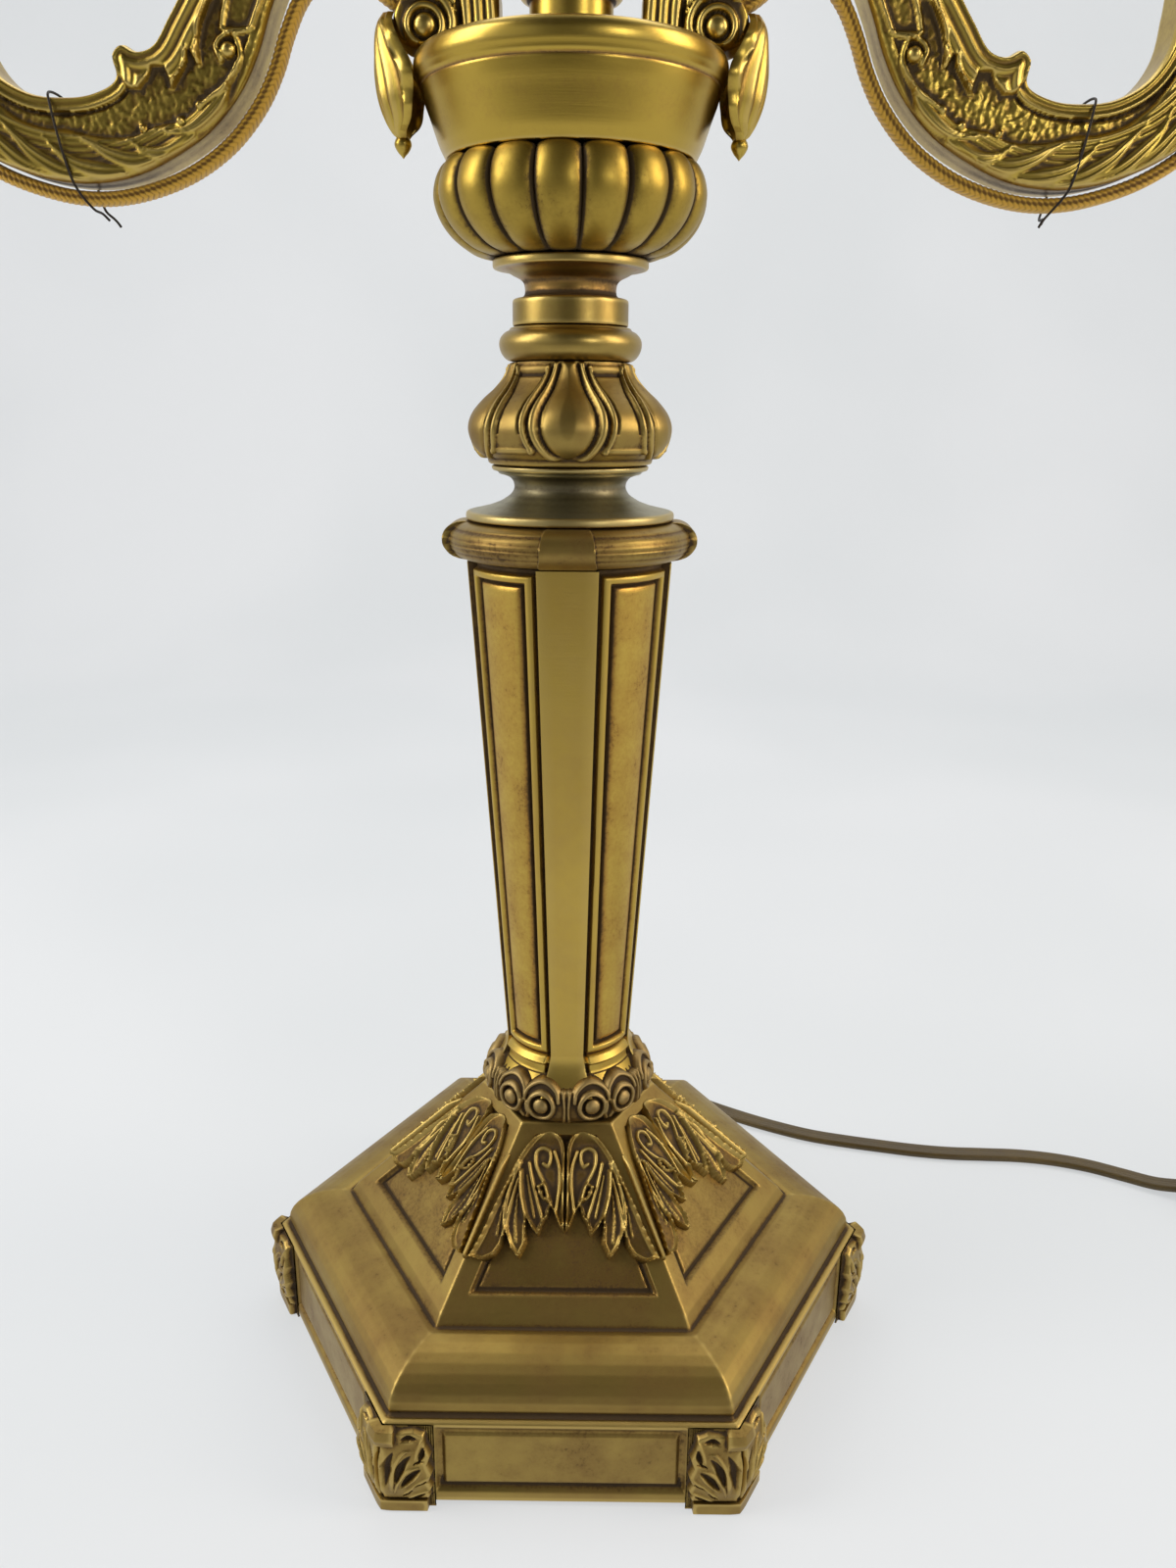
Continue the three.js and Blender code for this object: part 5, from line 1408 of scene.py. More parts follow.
@dataclass
class Bowl:
    """Lower half of the urn: rounded lobes that end in arches over the urn's foot."""

    low: float = 332.5
    lobes: int = 18
    first: float = -4.0
    valley: float = 2.7
    outline: Line = dots("""
        20.6 0, 22.4 0.15, 26.6 1.4, 30.6 4.1, 33.6 7.6, 35.3 11.2, 35.9 14.4, 35.5 17.6, 34.6 20, 33.2 22,
        31.6 22.9, 29.6 22.5""")

    def build(self) -> None:
        """Makes the bowl."""
        profile = spline(self.outline, 84)
        share = np.linspace(-1, 1, 25)[:-1]
        pitch = 360 / self.lobes
        round_lobe = 1 - np.sqrt(np.clip(1 - np.abs(share) ** 2.2, 0, 1))
        slope = unit(np.gradient(profile, axis=0))
        length = np.concatenate([[0], np.cumsum(np.linalg.norm(np.diff(profile, axis=0), axis=1))])
        arch = length[-1] - 1.0 - 4.6 * (1 - np.sqrt(np.clip(1 - share**2, 0, 1)))
        beyond = smooth_step(length[:, None] - arch[None, :], -0.5, 1.0)
        strength = np.interp(length, [0, 3, 9], [0.25, 0.7, 1.0])[:, None]
        dip = self.valley * strength * round_lobe[None, :]
        dip = np.maximum(dip, 1.1 * beyond)
        radius = profile[:, :1] - dip * slope[:, 1:]
        height = self.low + profile[:, 1:] + dip * slope[:, :1] * 0.6
        degrees = self.first + share * pitch / 2
        outer = around(polar(degrees, radius, height), self.lobes)
        rings = [(r, self.low + z) for r, z in dots("28 22.4, 26 5, 7.1 3, 7.1 0")]
        points = np.concatenate([outer, lining(outer.shape[1], self.first - pitch / 2, rings)])
        beside = np.broadcast_to(1 - np.abs(share), dip.shape)
        # Groove values in the lobe valleys and at the foot, where the bowl sits on the collar, make the brass darker
        # there: dirt with painted shade in the valleys, painted shade at the foot.
        valley, soil_and_shade = np.exp(-(beside / 0.1) ** 2), 0.5 * np.exp(-(beside / 0.28) ** 2)
        foot = np.exp(-(length / 1.6) ** 2)[:, None]
        crown = -0.5 * np.exp(-((length[:, None] - arch[None, :] + 0.6) / 0.8) ** 2)
        hollow = np.clip(1.2 * valley + soil_and_shade + 0.7 * foot + crown + 0.25 * beyond, -1, 1)
        settle("lobed_bowl", points, Finish.LOBED, "gadrooned_bowl", hollow=np.tile(hollow, (1, self.lobes)),
               crease=50)


@dataclass
class Arm:
    """S-scroll arm with carved flanks: a plate of even width, drawn in reach and height."""

    foot: float = 377.3
    top: float = 417.7
    width: float = 15.0
    ease: float = 1.5
    cell: float = 0.42
    under: Line = dots("""
        38 2.8, 42.6 4.6, 44.2 9.4, 42.6 13.6, 40.8 17, 44 23, 50.5 27, 58 28, 65 25, 70 20.2, 74.3 11.8, 78.2 2,
        82.8 -6.2, 91.2 -15.4, 102.2 -22.3, 113 -26.6, 124 -28.1, 134.5 -27.1, 144.8 -24, 154.4 -18.8,
        162.6 -10.6, 167.8 0.2, 170 12, 169.4 24, 168.2 34.4""")
    hollow: Line = dots("""
        152.8 34.4, 151.2 27, 150.4 14, 149 4, 144.4 -3.2, 137 -7.4, 129 -8.4, 120.8 -7.5, 114.6 -4.2, 114.8 0.8,
        112 3.4, 108.6 1.9, 104.4 3, 99.8 9.2, 95.6 15.4, 89 25, 80 35.6, 69 43.6, 56 47, 42 45, 30 38,
        21.6 27.6, 17.8 16""")
    lobes: tuple[Line, ...] = (
        dots("86 370.9, 90.3 365.9, 95.8 361.8, 101 360.8, 105.2 361.3"),
        dots("95 360.8, 102 356.2, 107.7 356.2, 112.4 359.3"),
        dots("103.4 355.9, 111.4 354.1, 117.5 355.7, 121.8 358.2, 126.2 360.1"),
        dots("112.4 351.9, 119.7 351.7, 126.4 353.3, 130.6 356.2, 133.9 360"),
        dots("121.8 350.4, 130 351.7, 137 355.7, 141 359.8, 145.3 364.6"),
        dots("130 350.1, 139 353.1, 145.2 358.2, 149.1 362.8, 151 368.4"),
        dots("140 352, 146.6 356.2, 151.1 360.8, 154.9 365.9, 156.8 373"),
        dots("149 356, 155 361.5, 159 368, 161.2 376, 161.4 384"),
        dots("157 363.5, 161.8 371, 164.4 380, 164.6 390, 163 398"),
    )

    def _edge(self, points: Line, count: int) -> Array:
        """Curve through points given over the arm's foot."""
        return spline([(x, self.foot + z) for x, z in points], count)

    def outline(self) -> Array:
        """Closed outline of a flank."""
        start = [(17.5, self.foot), (34.6, self.foot), (34.6, self.foot + 2.8)]
        return np.vstack([start, self._edge(self.under, 260), [(168.2, self.top), (152.8, self.top)],
                          self._edge(self.hollow, 240)])

    def relief(self) -> Relief:
        """Carving of a flank.

        Returns:
            Heights over reach and height.
        """
        work = Relief((16.0, 347.0), (172.0, 426.0), 0.2)
        under, hollow = self._edge(self.under, 130), self._edge(self.hollow, 130)
        low_edge, _ = segment_distance(work.u, work.v, under)
        high_edge, along = segment_distance(work.u, work.v, hollow)
        bowl_part = smooth_step(work.u, 82, 86) * (1 - smooth_step(work.v, 379, 384) * (work.u < 110))
        pits = blurred(RNG.standard_normal(work.u.shape), 1.4)
        ground = -0.3 + 0.5 * pits
        rim = 0.75 * smooth_step(3.6 - high_edge, -0.3, 0.3) - 0.55 * np.exp(-((high_edge - 1.9) / 0.8) ** 2)
        rim -= 0.7 * np.exp(-((high_edge - 4.0) / 0.35) ** 2)
        rim *= smooth_step(along, 0.0, 0.02) * (1 - smooth_step(along, 0.40, 0.43))
        smooth_edge = smooth_step(3.4 - low_edge, -0.8, 0.8)
        work.height = bowl_part * (ground * (1 - smooth_edge) * (high_edge > 3.7) + rim - 0.25 * smooth_edge)
        flute = -0.9 * smooth_step(np.minimum(low_edge, high_edge), 2.6, 3.8) + 0.25 * pits
        work.height += (1 - bowl_part) * (flute + 0.25)
        body = spline(dots("""
            83.5 376.5, 86.5 372.5, 92.7 367.4, 98.4 363.4, 105 362, 112 359.5, 120 359.5, 128 361, 134 361.5,
            141 364, 147 369, 151.5 376, 156 386, 158 400, 168 400, 169 388, 166.2 375, 161 366, 153.7 358.4,
            145.9 353.3, 138.3 350.1, 130.5 348.9, 122.3 349.5, 114.6 351.2, 106.8 354.6, 99.6 358.3, 93.5 362.4,
            87.9 368.2"""),
                      90, closed=True)
        border = work.border(body)
        veins = 0.2 * np.cos(low_edge * 2 * np.pi / 1.5)
        sheet = smooth_step(border, -0.4, 0.6) * (1.0 + veins * smooth_step(low_edge, 1.0, 2.2))
        work.height = np.where(border > -0.4, np.maximum(work.height, sheet), work.height)
        for order, midrib in enumerate(self.lobes):
            work.lobe(midrib, 2.1 if order == 0 else 2.7, 2.15, veins=0.5)
        spiral = dots("""
            92.7 367.6, 89.5 369.4, 85.9 371.9, 83.6 375.4, 82.6 379.1, 83.6 382.2, 86.4 382.6, 88.4 380.4,
            87.4 377.2""")
        work.bead(spiral, 0.8, 1.3, smooth=60)
        work.dome((85.4, 379.3), 2.0, 1.9)
        for spot, size in (((93.4, 366.9), 1.2), ((98.6, 363.4), 1.1), ((108.4, 361.6), 0.9)):
            work.dome(spot, size, 2.1)
        work.bead(dots("79.2 384, 83.2 383.4, 87.2 384"), 1.1, 1.7, taper=0.3, smooth=12)
        for rail in (dots("79.6 384.4, 77.9 387.6, 76 391.5, 70.5 399, 60 404.5"),
                     dots("86.7 384.4, 86 387.6, 84.9 391, 78.5 401.5, 67 410.5")):
            work.bead(rail, 0.85, 1.1, smooth=40)
        strap = dots("""
            88.8 391.5, 91.4 385.7, 93 380.8, 93 375.6, 95.3 379.6, 96 376.4, 100 370.6, 101.6 375.6,
            104.6 375.6, 106.4 372.4, 108.4 370.6, 111.2 370.8, 113.6 374, 115.4 378.6, 112 381.4, 108.4 379.4,
            105.4 380.6, 100.6 387, 96.2 393.5""")
        leaf = work.border(strap)
        folds = 0.35 * np.cos((high_edge - 0.4) * 2 * np.pi / 3.0)
        raised = smooth_step(leaf, -0.3, 0.4) * (1.5 + folds)
        work.height = np.where(leaf > -0.3, np.maximum(work.height, raised), work.height)
        work.bead(dots("88 392, 92.4 384, 93 376.4"), 0.6, 0.7, smooth=20)
        work.bead(dots("95.6 379.4, 97 375.4, 100.2 370.8"), 0.6, 0.7, smooth=20)
        self._root(work)
        return work.finish(1.1, 0.42)

    def _root(self, work: Relief) -> None:
        """Works the volute and the fluted plate at the arm's root."""
        work.height *= smooth_step(work.u, 46.0, 52.0)
        turn = np.linspace(0, 2 * np.pi, 50)
        eye = (36.2, 385.0)
        for x in (19.5, 22.6, 25.7, 28.6):
            work.bead([(x, 377.0), (x + 0.6, 392.0), (x + 3.5, 404.0)], 1.25, 1.0, smooth=24)
        work.bead(dots("27 379.5, 27.4 386, 28.4 392"), 0.7, -1.4, taper=0.3, smooth=16)
        disc = np.hypot(work.u - eye[0], work.v - eye[1])
        work.height = np.where(disc < 8.4, -0.2, work.height)
        work.bead(np.stack([eye[0] + 4.4 * np.cos(turn), eye[1] + 4.4 * np.sin(turn)], axis=1), 1.1, 1.7)
        work.dome(eye, 2.9, 2.2)
        curl = [(eye[0] + r * math.cos(a), eye[1] + r * math.sin(a)) for r, a in
                dots("6.2 -1.9, 6.6 -2.6, 7 3, 7.2 2.3, 7.5 1.6, 8.4 0.9")]
        work.bead(curl, 1.2, 1.6, smooth=40)
        for rise in (0.0, 3.2):
            ledge = [(30.0 + rise, 394.0 - rise), (38.0 + rise, 398.0 - rise), (48.0, 404.0 - rise)]
            work.bead(ledge, 1.0, 0.9, smooth=20)

    def build(self) -> None:
        """Makes both arms from one carved skin."""
        outline = self.outline()
        count = len(outline)
        flank = [np.stack([outline[:, 0], np.full(count, y), outline[:, 1]], axis=1) for y in (-7.5, 7.5)]
        ring = [[k, (k + 1) % count, (k + 1) % count + count, k + count] for k in range(count)]
        sides = [list(range(count))[::-1], list(range(count, 2 * count)), *ring]
        blank = as_object("arm_blank", np.vstack(flank), sides)
        remesh = blank.modifiers.new("skin", "REMESH")
        remesh.mode = "VOXEL"
        remesh.voxel_size = self.cell * MM
        remesh.adaptivity = 0.0
        evaluated = blank.evaluated_get(bpy.context.evaluated_depsgraph_get())
        mesh = bpy.data.meshes.new_from_object(evaluated)
        points = np.empty(len(mesh.vertices) * 3)
        mesh.vertices.foreach_get("co", points)
        corners = points.reshape(-1, 3) / MM
        quads = np.array([tuple(face.vertices) for face in mesh.polygons if len(face.vertices) == 4])
        bpy.data.objects.remove(blank)
        bpy.data.meshes.remove(mesh)
        work = self.relief()
        border = Relief((14.0, 345.0), (174.0, 428.0), 0.3)
        border.height = border.border(outline)
        x, y, z = corners.T
        depth = np.clip(border.read(x, z), 0, None)
        share = np.clip(1 - depth / self.ease, 0, 1)
        fall = self.ease * (1 - np.sqrt(1 - share**2))
        carve = work.read(x, z) * smooth_step(depth, 0.0, 0.9)
        half = self.width / 2 - fall + carve - 0.6
        side = np.clip(np.abs(y) / (self.width / 2 - self.cell * 0.25), 0, 1)
        flat = smooth_step(side, 0.9, 1.0)
        hollow = work.read(x, z, work.hollow) * flat - 0.45 * np.exp(-(depth / 0.9) ** 2) * flat + 0.22 * (1 - flat)
        carved = np.stack([x, np.sign(y) * side * half, z], axis=1)
        for name, turn in SIDES:
            settle(f"{name}_scroll_arm", (turned(carved, turn), quads), Finish.ARM, f"{name}_arm", hollow=hollow,
                   crease=80)


@dataclass
class ScrollLeaf:
    """Domed leaf with long ribs that hangs outside the urn's rim and ends in a ball."""

    foot: float = 377.3
    thick: float = 1.7
    spine: Line = dots("""
        47 11.2 5 0.3, 48.4 8.6 8 0.32, 49.2 4 10.4 0.5, 49.4 -2 11.4 0.74, 48.6 -8 10.3 0.74,
        46.8 -12.8 7.2 0.66, 45.2 -15.4 3.6 0.4, 44.7 -16.6 2 0.3""")

    def build(self) -> None:
        """Makes both leaves."""
        rows = spline(self.spine, 90)
        share = np.linspace(-1, 1, 61)
        reach, rise, half, curl = (rows[:, k][:, None] for k in range(4))
        down = np.linspace(0, 1, len(rows))[:, None]
        spread = np.abs(share)[None, :] * (1.0 - 0.25 * down)
        ribs = np.cos(2 * np.pi * (spread * 3.6 - 0.35 * down**2)) * 0.62 + 0.3
        fade = smooth_step(1 - np.abs(share), 0.0, 0.1)[None, :] * smooth_step(1 - down, 0.0, 0.08)
        front = reach - curl * half * share**2 + ribs * fade
        back = reach - curl * half * share**2 - self.thick
        scallop = 1 + 0.05 * np.cos(down * 26) * (np.abs(share)[None, :] > 0.9)
        y, z = share[None, :] * half * scallop, np.broadcast_to(self.foot + rise, front.shape)
        outer, inner = np.stack([front, y, z], axis=-1), np.stack([back, y, z], axis=-1)[:, ::-1]
        corners, faces = capped(np.concatenate([outer, inner], axis=1))
        # The leaf's back, toward the urn, gets a groove value of 0.3 so the brass is darker there: painted shade
        # behind the leaf.
        groove = np.concatenate([np.clip(-ribs * 2.0 * fade, -0.9, 1.0), np.full(back.shape, 0.3)], axis=1)
        bead = spline(dots("0 0, 1.5 -0.5, 2.25 -2.2, 1.5 -3.9, 0.5 -5, 0 -5.6"), 22)
        angles = np.linspace(0, 360, 24, endpoint=False)
        ball = polar(angles[None, :], np.maximum(bead[:, :1], 0.02), bead[:, 1:] + self.foot - 15.4)
        ball_faces = grid_faces(*ball.shape[:2], loop_cols=True)[:, ::-1] + len(corners)
        points = np.vstack([corners, ball.reshape(-1, 3) + np.array([43.6, 0, 0])])
        faces = np.vstack([faces, ball_faces])
        for name, turn in SIDES:
            settle(f"{name}_hanging_leaf", (turned(points, turn), faces), Finish.ARM, f"{name}_scroll_leaf",
                   hollow=groove, crease=60)


@dataclass
class ArmFittings:
    """Braided cord under each arm, and the wire that ties it there."""

    foot: float = 377.3
    width: float = 5.9
    thick: float = 3.5
    braid: float = 1.5
    route: Line = dots("""
        20.5 -12, 20.5 -3, 21.6 5, 26.5 10.4, 35 12.4, 43 13.8, 47.4 16.4, 51.5 20, 57 22, 63 20, 68 14.8,
        71.9 7.4, 75.2 -0.8, 79.8 -8.8, 87.8 -17.7, 97.9 -24.5, 108.5 -28.7, 119 -30.8, 129 -30.7, 139 -28.6,
        149.1 -24.8, 158.7 -18.6, 166.8 -9.8, 172 1.3, 173.4 13, 172.6 24, 171.3 33, 170.9 40.3""")

    def build_cords(self) -> None:
        path = spline([(x, 0.0, self.foot + z) for x, z in self.route], 760)
        length = float(np.linalg.norm(np.diff(path, axis=0), axis=1).sum())
        turn = np.linspace(0, 2 * np.pi, 44, endpoint=False)
        along = np.linspace(0, length, len(path))[:, None]
        lay = np.abs(np.mod(turn / np.pi * 2 + 0.5, 2) - 1)[None, :]
        stitch = np.cos(2 * np.pi * (along / self.braid - 1.6 * lay))
        seam = np.exp(-(np.sin(turn) / 0.22) ** 2)[None, :]
        swell = 1 + 0.045 * stitch - 0.10 * seam
        section = squared(turn, 0.8, 0.85) * np.array([self.width / 2, self.thick / 2])
        points, faces = swept(path, section[None] * swell[..., None], np.tile([0.0, 1.0, 0.0], (len(path), 1)))
        groove = np.clip(-0.38 * stitch + 0.8 * seam - 0.15, -1, 1)
        for name, angle in SIDES:
            piece = settle(f"{name}_braided_cord", (turned(points, angle), faces), Finish.BRAID, f"{name}_arm_cord",
                           hollow=groove, crease=80)

    def build_ties(self) -> None:
        """Makes the two tie wires, their loose ends twisted."""
        low, high, half = self.foot - 33.6, self.foot - 7.6, 8.3
        route = [(121.2, -6.0, low - 3.4), (121.8, -5.7, low - 2.4), (122.6, -5.2, low - 1.4), (124, -4.2, low),
                 (127, -half, low + 5), (129.2, -half - 0.1, low + 13), (131, -half, high - 3), (132, -6, high + 0.2),
                 (132, 6, high + 0.2), (131, half, high - 3), (127, half, low + 5), (124.4, 4, low - 0.2),
                 (123.8, -1, low - 0.9), (122.9, -2.6, low - 2.2)]
        path = spline(route, 260)
        turn = np.linspace(0, 2 * np.pi, 10, endpoint=False)
        section = 0.33 * np.stack([np.cos(turn), np.sin(turn)], axis=1)
        points, faces = swept(path, section, np.tile([0.3, 0.2, 0.9], (len(path), 1)))
        for name, angle in SIDES:
            settle(f"{name}_wire_tie", (turned(points, angle), faces), Finish.WIRE, f"{name}_tie_wire")


@dataclass
class Urn:
    """Polished upper half of the urn with its cover, centre tube and cap."""

    low: float = 355.3

    def build(self) -> None:
        """Makes the turned pieces above the bowl."""
        low = self.low
        wall = spline(dots("32.3 0, 33 1.4, 33.9 3.2, 35.2 6.8, 36.5 10.6, 37.6 13.6, 38.3 16"), 24)
        urn = [(7.1, low), *[(r, low + z) for r, z in wall], (38.2, low + 16.5), (39.0, low + 17.2),
               (39.3, low + 18.2), (39.9, low + 19.4), (40.1, low + 21.0), (39.8, low + 22.6), (38.9, low + 23.8),
               (37.5, low + 24.3), (36.5, low + 23.8), (36.1, low + 22.3), (36.1, low + 18.7), (33.4, low + 18.7),
               (33.1, low + 14.7), (31.0, low + 5.0), (30.0, low + 3.0), (7.1, low + 3.0)]
        tube = dots("""
            9 377.3, 10.6 377.3, 10.6 391.9, 12.9 392.6, 13.6 394.9, 12.9 397.2, 10.6 397.9, 10.6 430.3, 9 430.3""")
        cap = dots("""
            7.1 425.6, 8.7 425.6, 8.7 430.6, 14.5 430.6, 15.8 431.6, 16.2 433, 15.8 434.4, 14.5 435.4,
            12.4 436.2, 11 437, 10.2 438.8, 10.2 440.6, 11.2 442.4, 12.8 443.8, 13.2 444.6, 13.2 446.6, 5 446.6,
            5 436.6, 7.1 436.6""")
        cover = dots("7.1 374.3, 35.8 374.3, 35.8 376.5, 35.3 377, 22 377, 7.1 377")
        Turning("urn_shell", urn, Finish.POLISHED, "urn_body", 0.7, 160).build()
        Turning("urn_lid", cover, Finish.TURNED, "urn_cover", segments=128).build()
        Turning("stem_tube", tube, Finish.POLISHED, "centre_tube", 0.9, 96).build()
        Turning("stem_top", cap, Finish.POLISHED, "stem_cap", 0.9, 96).build()


@dataclass
class CandleLight:
    """One candle light: drip pan, cup, sleeve, lampholder and bulb."""

    name: str
    at: tuple[float, float, float]

    def build(self) -> None:
        """Makes the five pieces."""
        pan = dots("5 0.3, 10 0.3, 18 1.2, 26 2.7, 27.4 4.2, 27.2 4.9, 26.6 4.9, 25.4 3.9, 18 2.6, 10 2, 5 2")
        cup = dots("""
            5 2.3, 7 2.3, 8.8 3.2, 9 4.6, 8 6, 6.9 8, 8.6 10.6, 12.6 13, 14.9 16, 15.3 18.4, 14.9 21, 15 23.4,
            16.4 25.6, 17.1 26.5, 17.1 27.4, 12.5 27.5, 12.5 14.5, 5 14.5""")
        sleeve = dots("11.2 14.8, 12.2 14.8, 12.2 79.8, 11.9 80, 11.4 80, 11.2 79.8")
        holder = dots("""
            0.02 -9.5, 4.6 -9.5, 4.6 14.8, 8 14.8, 8 21.8, 6.9 24.8, 6.9 45.8, 9.6 47.8, 9.6 75.8, 7.3 75.8,
            7.3 55.8, 0.02 55.8""")
        bulb = spline(dots("""
            6.4 76.4, 8.2 80, 11.4 84, 14.6 91, 16.6 98, 17 102, 16.3 110, 13.4 119, 9.2 127, 5.4 133.5, 2.8 138,
            1.4 140.4, 0.02 141"""), 46)
        glass = [(0.02, 57.0), (4.0, 57.4), (6.4, 59.4), *map(tuple, bulb)]
        for label, outline, finish, node, segments in (
                ("drip_dish", pan, Finish.POLISHED, "drip_pan", 96),
                ("cup_vase", cup, Finish.POLISHED, "candle_cup", 80),
                ("card_sleeve", sleeve, Finish.SLEEVE, "candle_sleeve", 64),
                ("socket", holder, Finish.RESIN, "lampholder", 48),
                ("candle_bulb", glass, Finish.OPAL, "bulb", 64)):
            Turning(f"{self.name}_{label}", outline, finish, f"{self.name}_{node}", 1.0, segments).build(self.at)


@dataclass
class MainsLead:
    """Flat twin lead on the table, from the bushing through the switch and a coil to the plug."""

    width: float = 7.0
    thick: float = 3.7
    rest: float = 2.0
    start: float = 108.998
    switch: tuple[float, float] = (272.2, 40.3)
    heading: float = -31.7
    radius: float = 48.0
    pitch: float = 7.9
    layer: float = 4.6
    turns: float = 2.33
    climb: float = 0.5

    def way(self, reach: float, height: float) -> tuple[float, float, float]:
        """Point on the switch's own line."""
        turn = math.radians(self.heading)
        return self.switch[0] + reach * math.cos(turn), self.switch[1] + reach * math.sin(turn), height

    def coil(self) -> Array:
        """Middle line of the coil, and then the tail to the plug.

        Returns:
            Points from the coil's entry to the plug.
        """
        turn = math.radians(self.heading)
        entry = np.array(self.way(26.3 + 42, 0)[:2])
        centre = entry + self.radius * np.array([math.sin(turn), -math.cos(turn)])
        whole = 2 * self.turns + self.climb
        at = np.linspace(0, whole, 260)
        inward = np.minimum(at, self.turns)
        outward = np.maximum(0, at - self.turns - self.climb)
        lift = np.clip((at - self.turns) / self.climb, 0, 1)
        radius = self.radius - self.pitch * (inward - outward)
        angle = math.pi / 2 + turn - at * 2 * math.pi
        height = self.rest + self.layer * (1 - np.cos(lift * math.pi)) / 2
        loop = np.stack([centre[0] + radius * np.cos(angle), centre[1] + radius * np.sin(angle), height], axis=1)
        out = np.array([math.sin(angle[-1]), -math.cos(angle[-1])])
        tail = [(*(loop[-1, :2] + out * reach), z) for reach, z in
                ((12, height[-1]), (26, height[-1] - 0.2), (36, 5.7), (44.2, 6.0))]
        return np.vstack([loop, spline([tuple(loop[-1]), *tail], 26)[1:]])

    def route(self) -> Array:
        """Middle line of the whole lead.

        Returns:
            Evenly spaced points.
        """
        s, rest = self.start, self.rest
        flat = dots("""
            36.4 132.4, 45 127, 57.3 117.8, 73.3 107.8, 87.1 100.6, 100.5 94.9, 114.5 91, 128.1 87.9, 141.7 85.1,
            155.7 83.3, 170 82.7, 184 82, 197 79.8, 210 75.6, 222 69.6""")
        table = [(0, s, 11.5), (0, s + 3, 11.5), (1, s + 8, 10.6), (4.5, s + 15, 7.8), (10.4, s + 21.6, 4.8),
                 (18.4, s + 25.6, 2.7), (27.4, s + 26, rest), *[(x, y, rest) for x, y in flat],
                 (232, 63.6, rest + 0.6), *[self.way(reach, z) for reach, z in (
                     (-34.3, 4.6), (-26.3, 4.6), (0, 4.6), (26.3, 4.6), (35.3, 3.7), (46.3, rest + 0.3),
                     (56.3, rest), (66.5, rest))]]
        first = spline(table, 420)
        return respaced(np.vstack([first, self.coil()]), 1500)

    def build(self) -> None:
        path = self.route()
        turn = np.linspace(0, 2 * np.pi, 28, endpoint=False)
        section = squared(turn, 1.0, 0.75) * np.array([self.width / 2, self.thick / 2])
        waist = 1 - 0.3 * np.exp(-(section[:, 0] / 0.8) ** 2)
        section[:, 1] *= waist
        groove = np.tile(np.clip(1.6 * (1 - waist) - 0.1, -1, 1), len(path))
        lead = settle("mains_lead", swept(path, section), Finish.CORD, "mains_cord", "cord_to_coil", "cord_coil",
                      "cord_to_plug", hollow=groove, crease=80)
        pieces = [self.bushing(), self.housing(), self.wheel(), self.plug(path)]

    def bushing(self) -> bpy.types.Object:
        """Ribbed and tapered strain relief behind the plinth.

        Returns:
            The dressed piece.
        """
        wall, ribs = 84.70, []
        for step in range(7):
            y, radius = 3.6 + step * 3.0, 6.0 - 0.2 * step
            ribs += [(radius, y), (radius, y + 1.7), (radius - 0.75, y + 2.0), (radius - 0.8, y + 2.8)]
        outline = [(0.02, -10.0), (6.6, -10.0), (6.6, -4.3), (5.0, -4.3), (5.0, 0.0), (6.2, 0.3), (6.3, 2.4), *ribs,
                   (4.4, 23.6), (0.02, 24.0)]
        profile = densified(rounded(outline, 0.35, steps=3), 2.0)
        angles = np.linspace(0, 360, 40, endpoint=False)
        points = polar(angles[None, :], profile[:, :1], profile[:, 1:])
        placed = np.stack([points[..., 0], points[..., 2] + wall, 11.5 - points[..., 1]], axis=-1)
        faces = grid_faces(len(profile), 40, loop_cols=True)
        hollow = np.repeat(hollowness(profile, closed=False), 40)
        return settle("strain_relief", (placed, faces), Finish.SHELL, "cord_bushing", hollow=hollow)

    def _placed(self, points: Array) -> Array:
        """Points of the switch's own frame, put in place."""
        return turned(points, self.heading) + np.array([*self.switch, 0.0])

    def housing(self) -> bpy.types.Object:
        """Two-part switch shell with a seam and a slot for its wheel.

        Returns:
            The dressed piece.
        """
        half, wide, tall = 26.0, 10.5, 14.0
        turn = np.linspace(0, 2 * np.pi, 72, endpoint=False)
        length = np.linspace(-half, half, 131)
        reach = np.interp(np.abs(length), [0, 9, 12, 16, 19.5, 22.5, 25.2, 26],
                          [wide, wide, 10.2, 8.4, 6.4, 5.1, 4.6, 4.2])
        rise = np.interp(np.abs(length), [0, 18, 23, 25.2, 26], [tall / 2, tall / 2, 6.5, 6.2, 5.6])
        across, up = squared(turn, 0.42, 0.42).T
        y, z = across * reach[:, None], up * rise[:, None] + tall / 2
        seam = np.exp(-((z - 7.0) / 0.35) ** 2)
        slot = smooth_step(7.6 - np.abs(length), -0.5, 0.5)[:, None] * smooth_step(3.0 - np.abs(z - 8.2), -0.3, 0.3)
        slot *= y > 5
        y = y - 0.35 * seam * np.sign(y) - 4.2 * slot
        grip = 0.25 * np.cos(length * 2 * np.pi / 1.9)[:, None] * (np.abs(length) > 15.5)[:, None]
        y = y * (1 + 0.03 * grip)
        corners, faces = capped(np.stack([np.broadcast_to(length[:, None], y.shape), y, z], axis=-1))
        return settle("switch_shell", (self._placed(corners), faces), Finish.SHELL, "switch_housing",
                      hollow=np.clip(seam + slot, 0, 1))

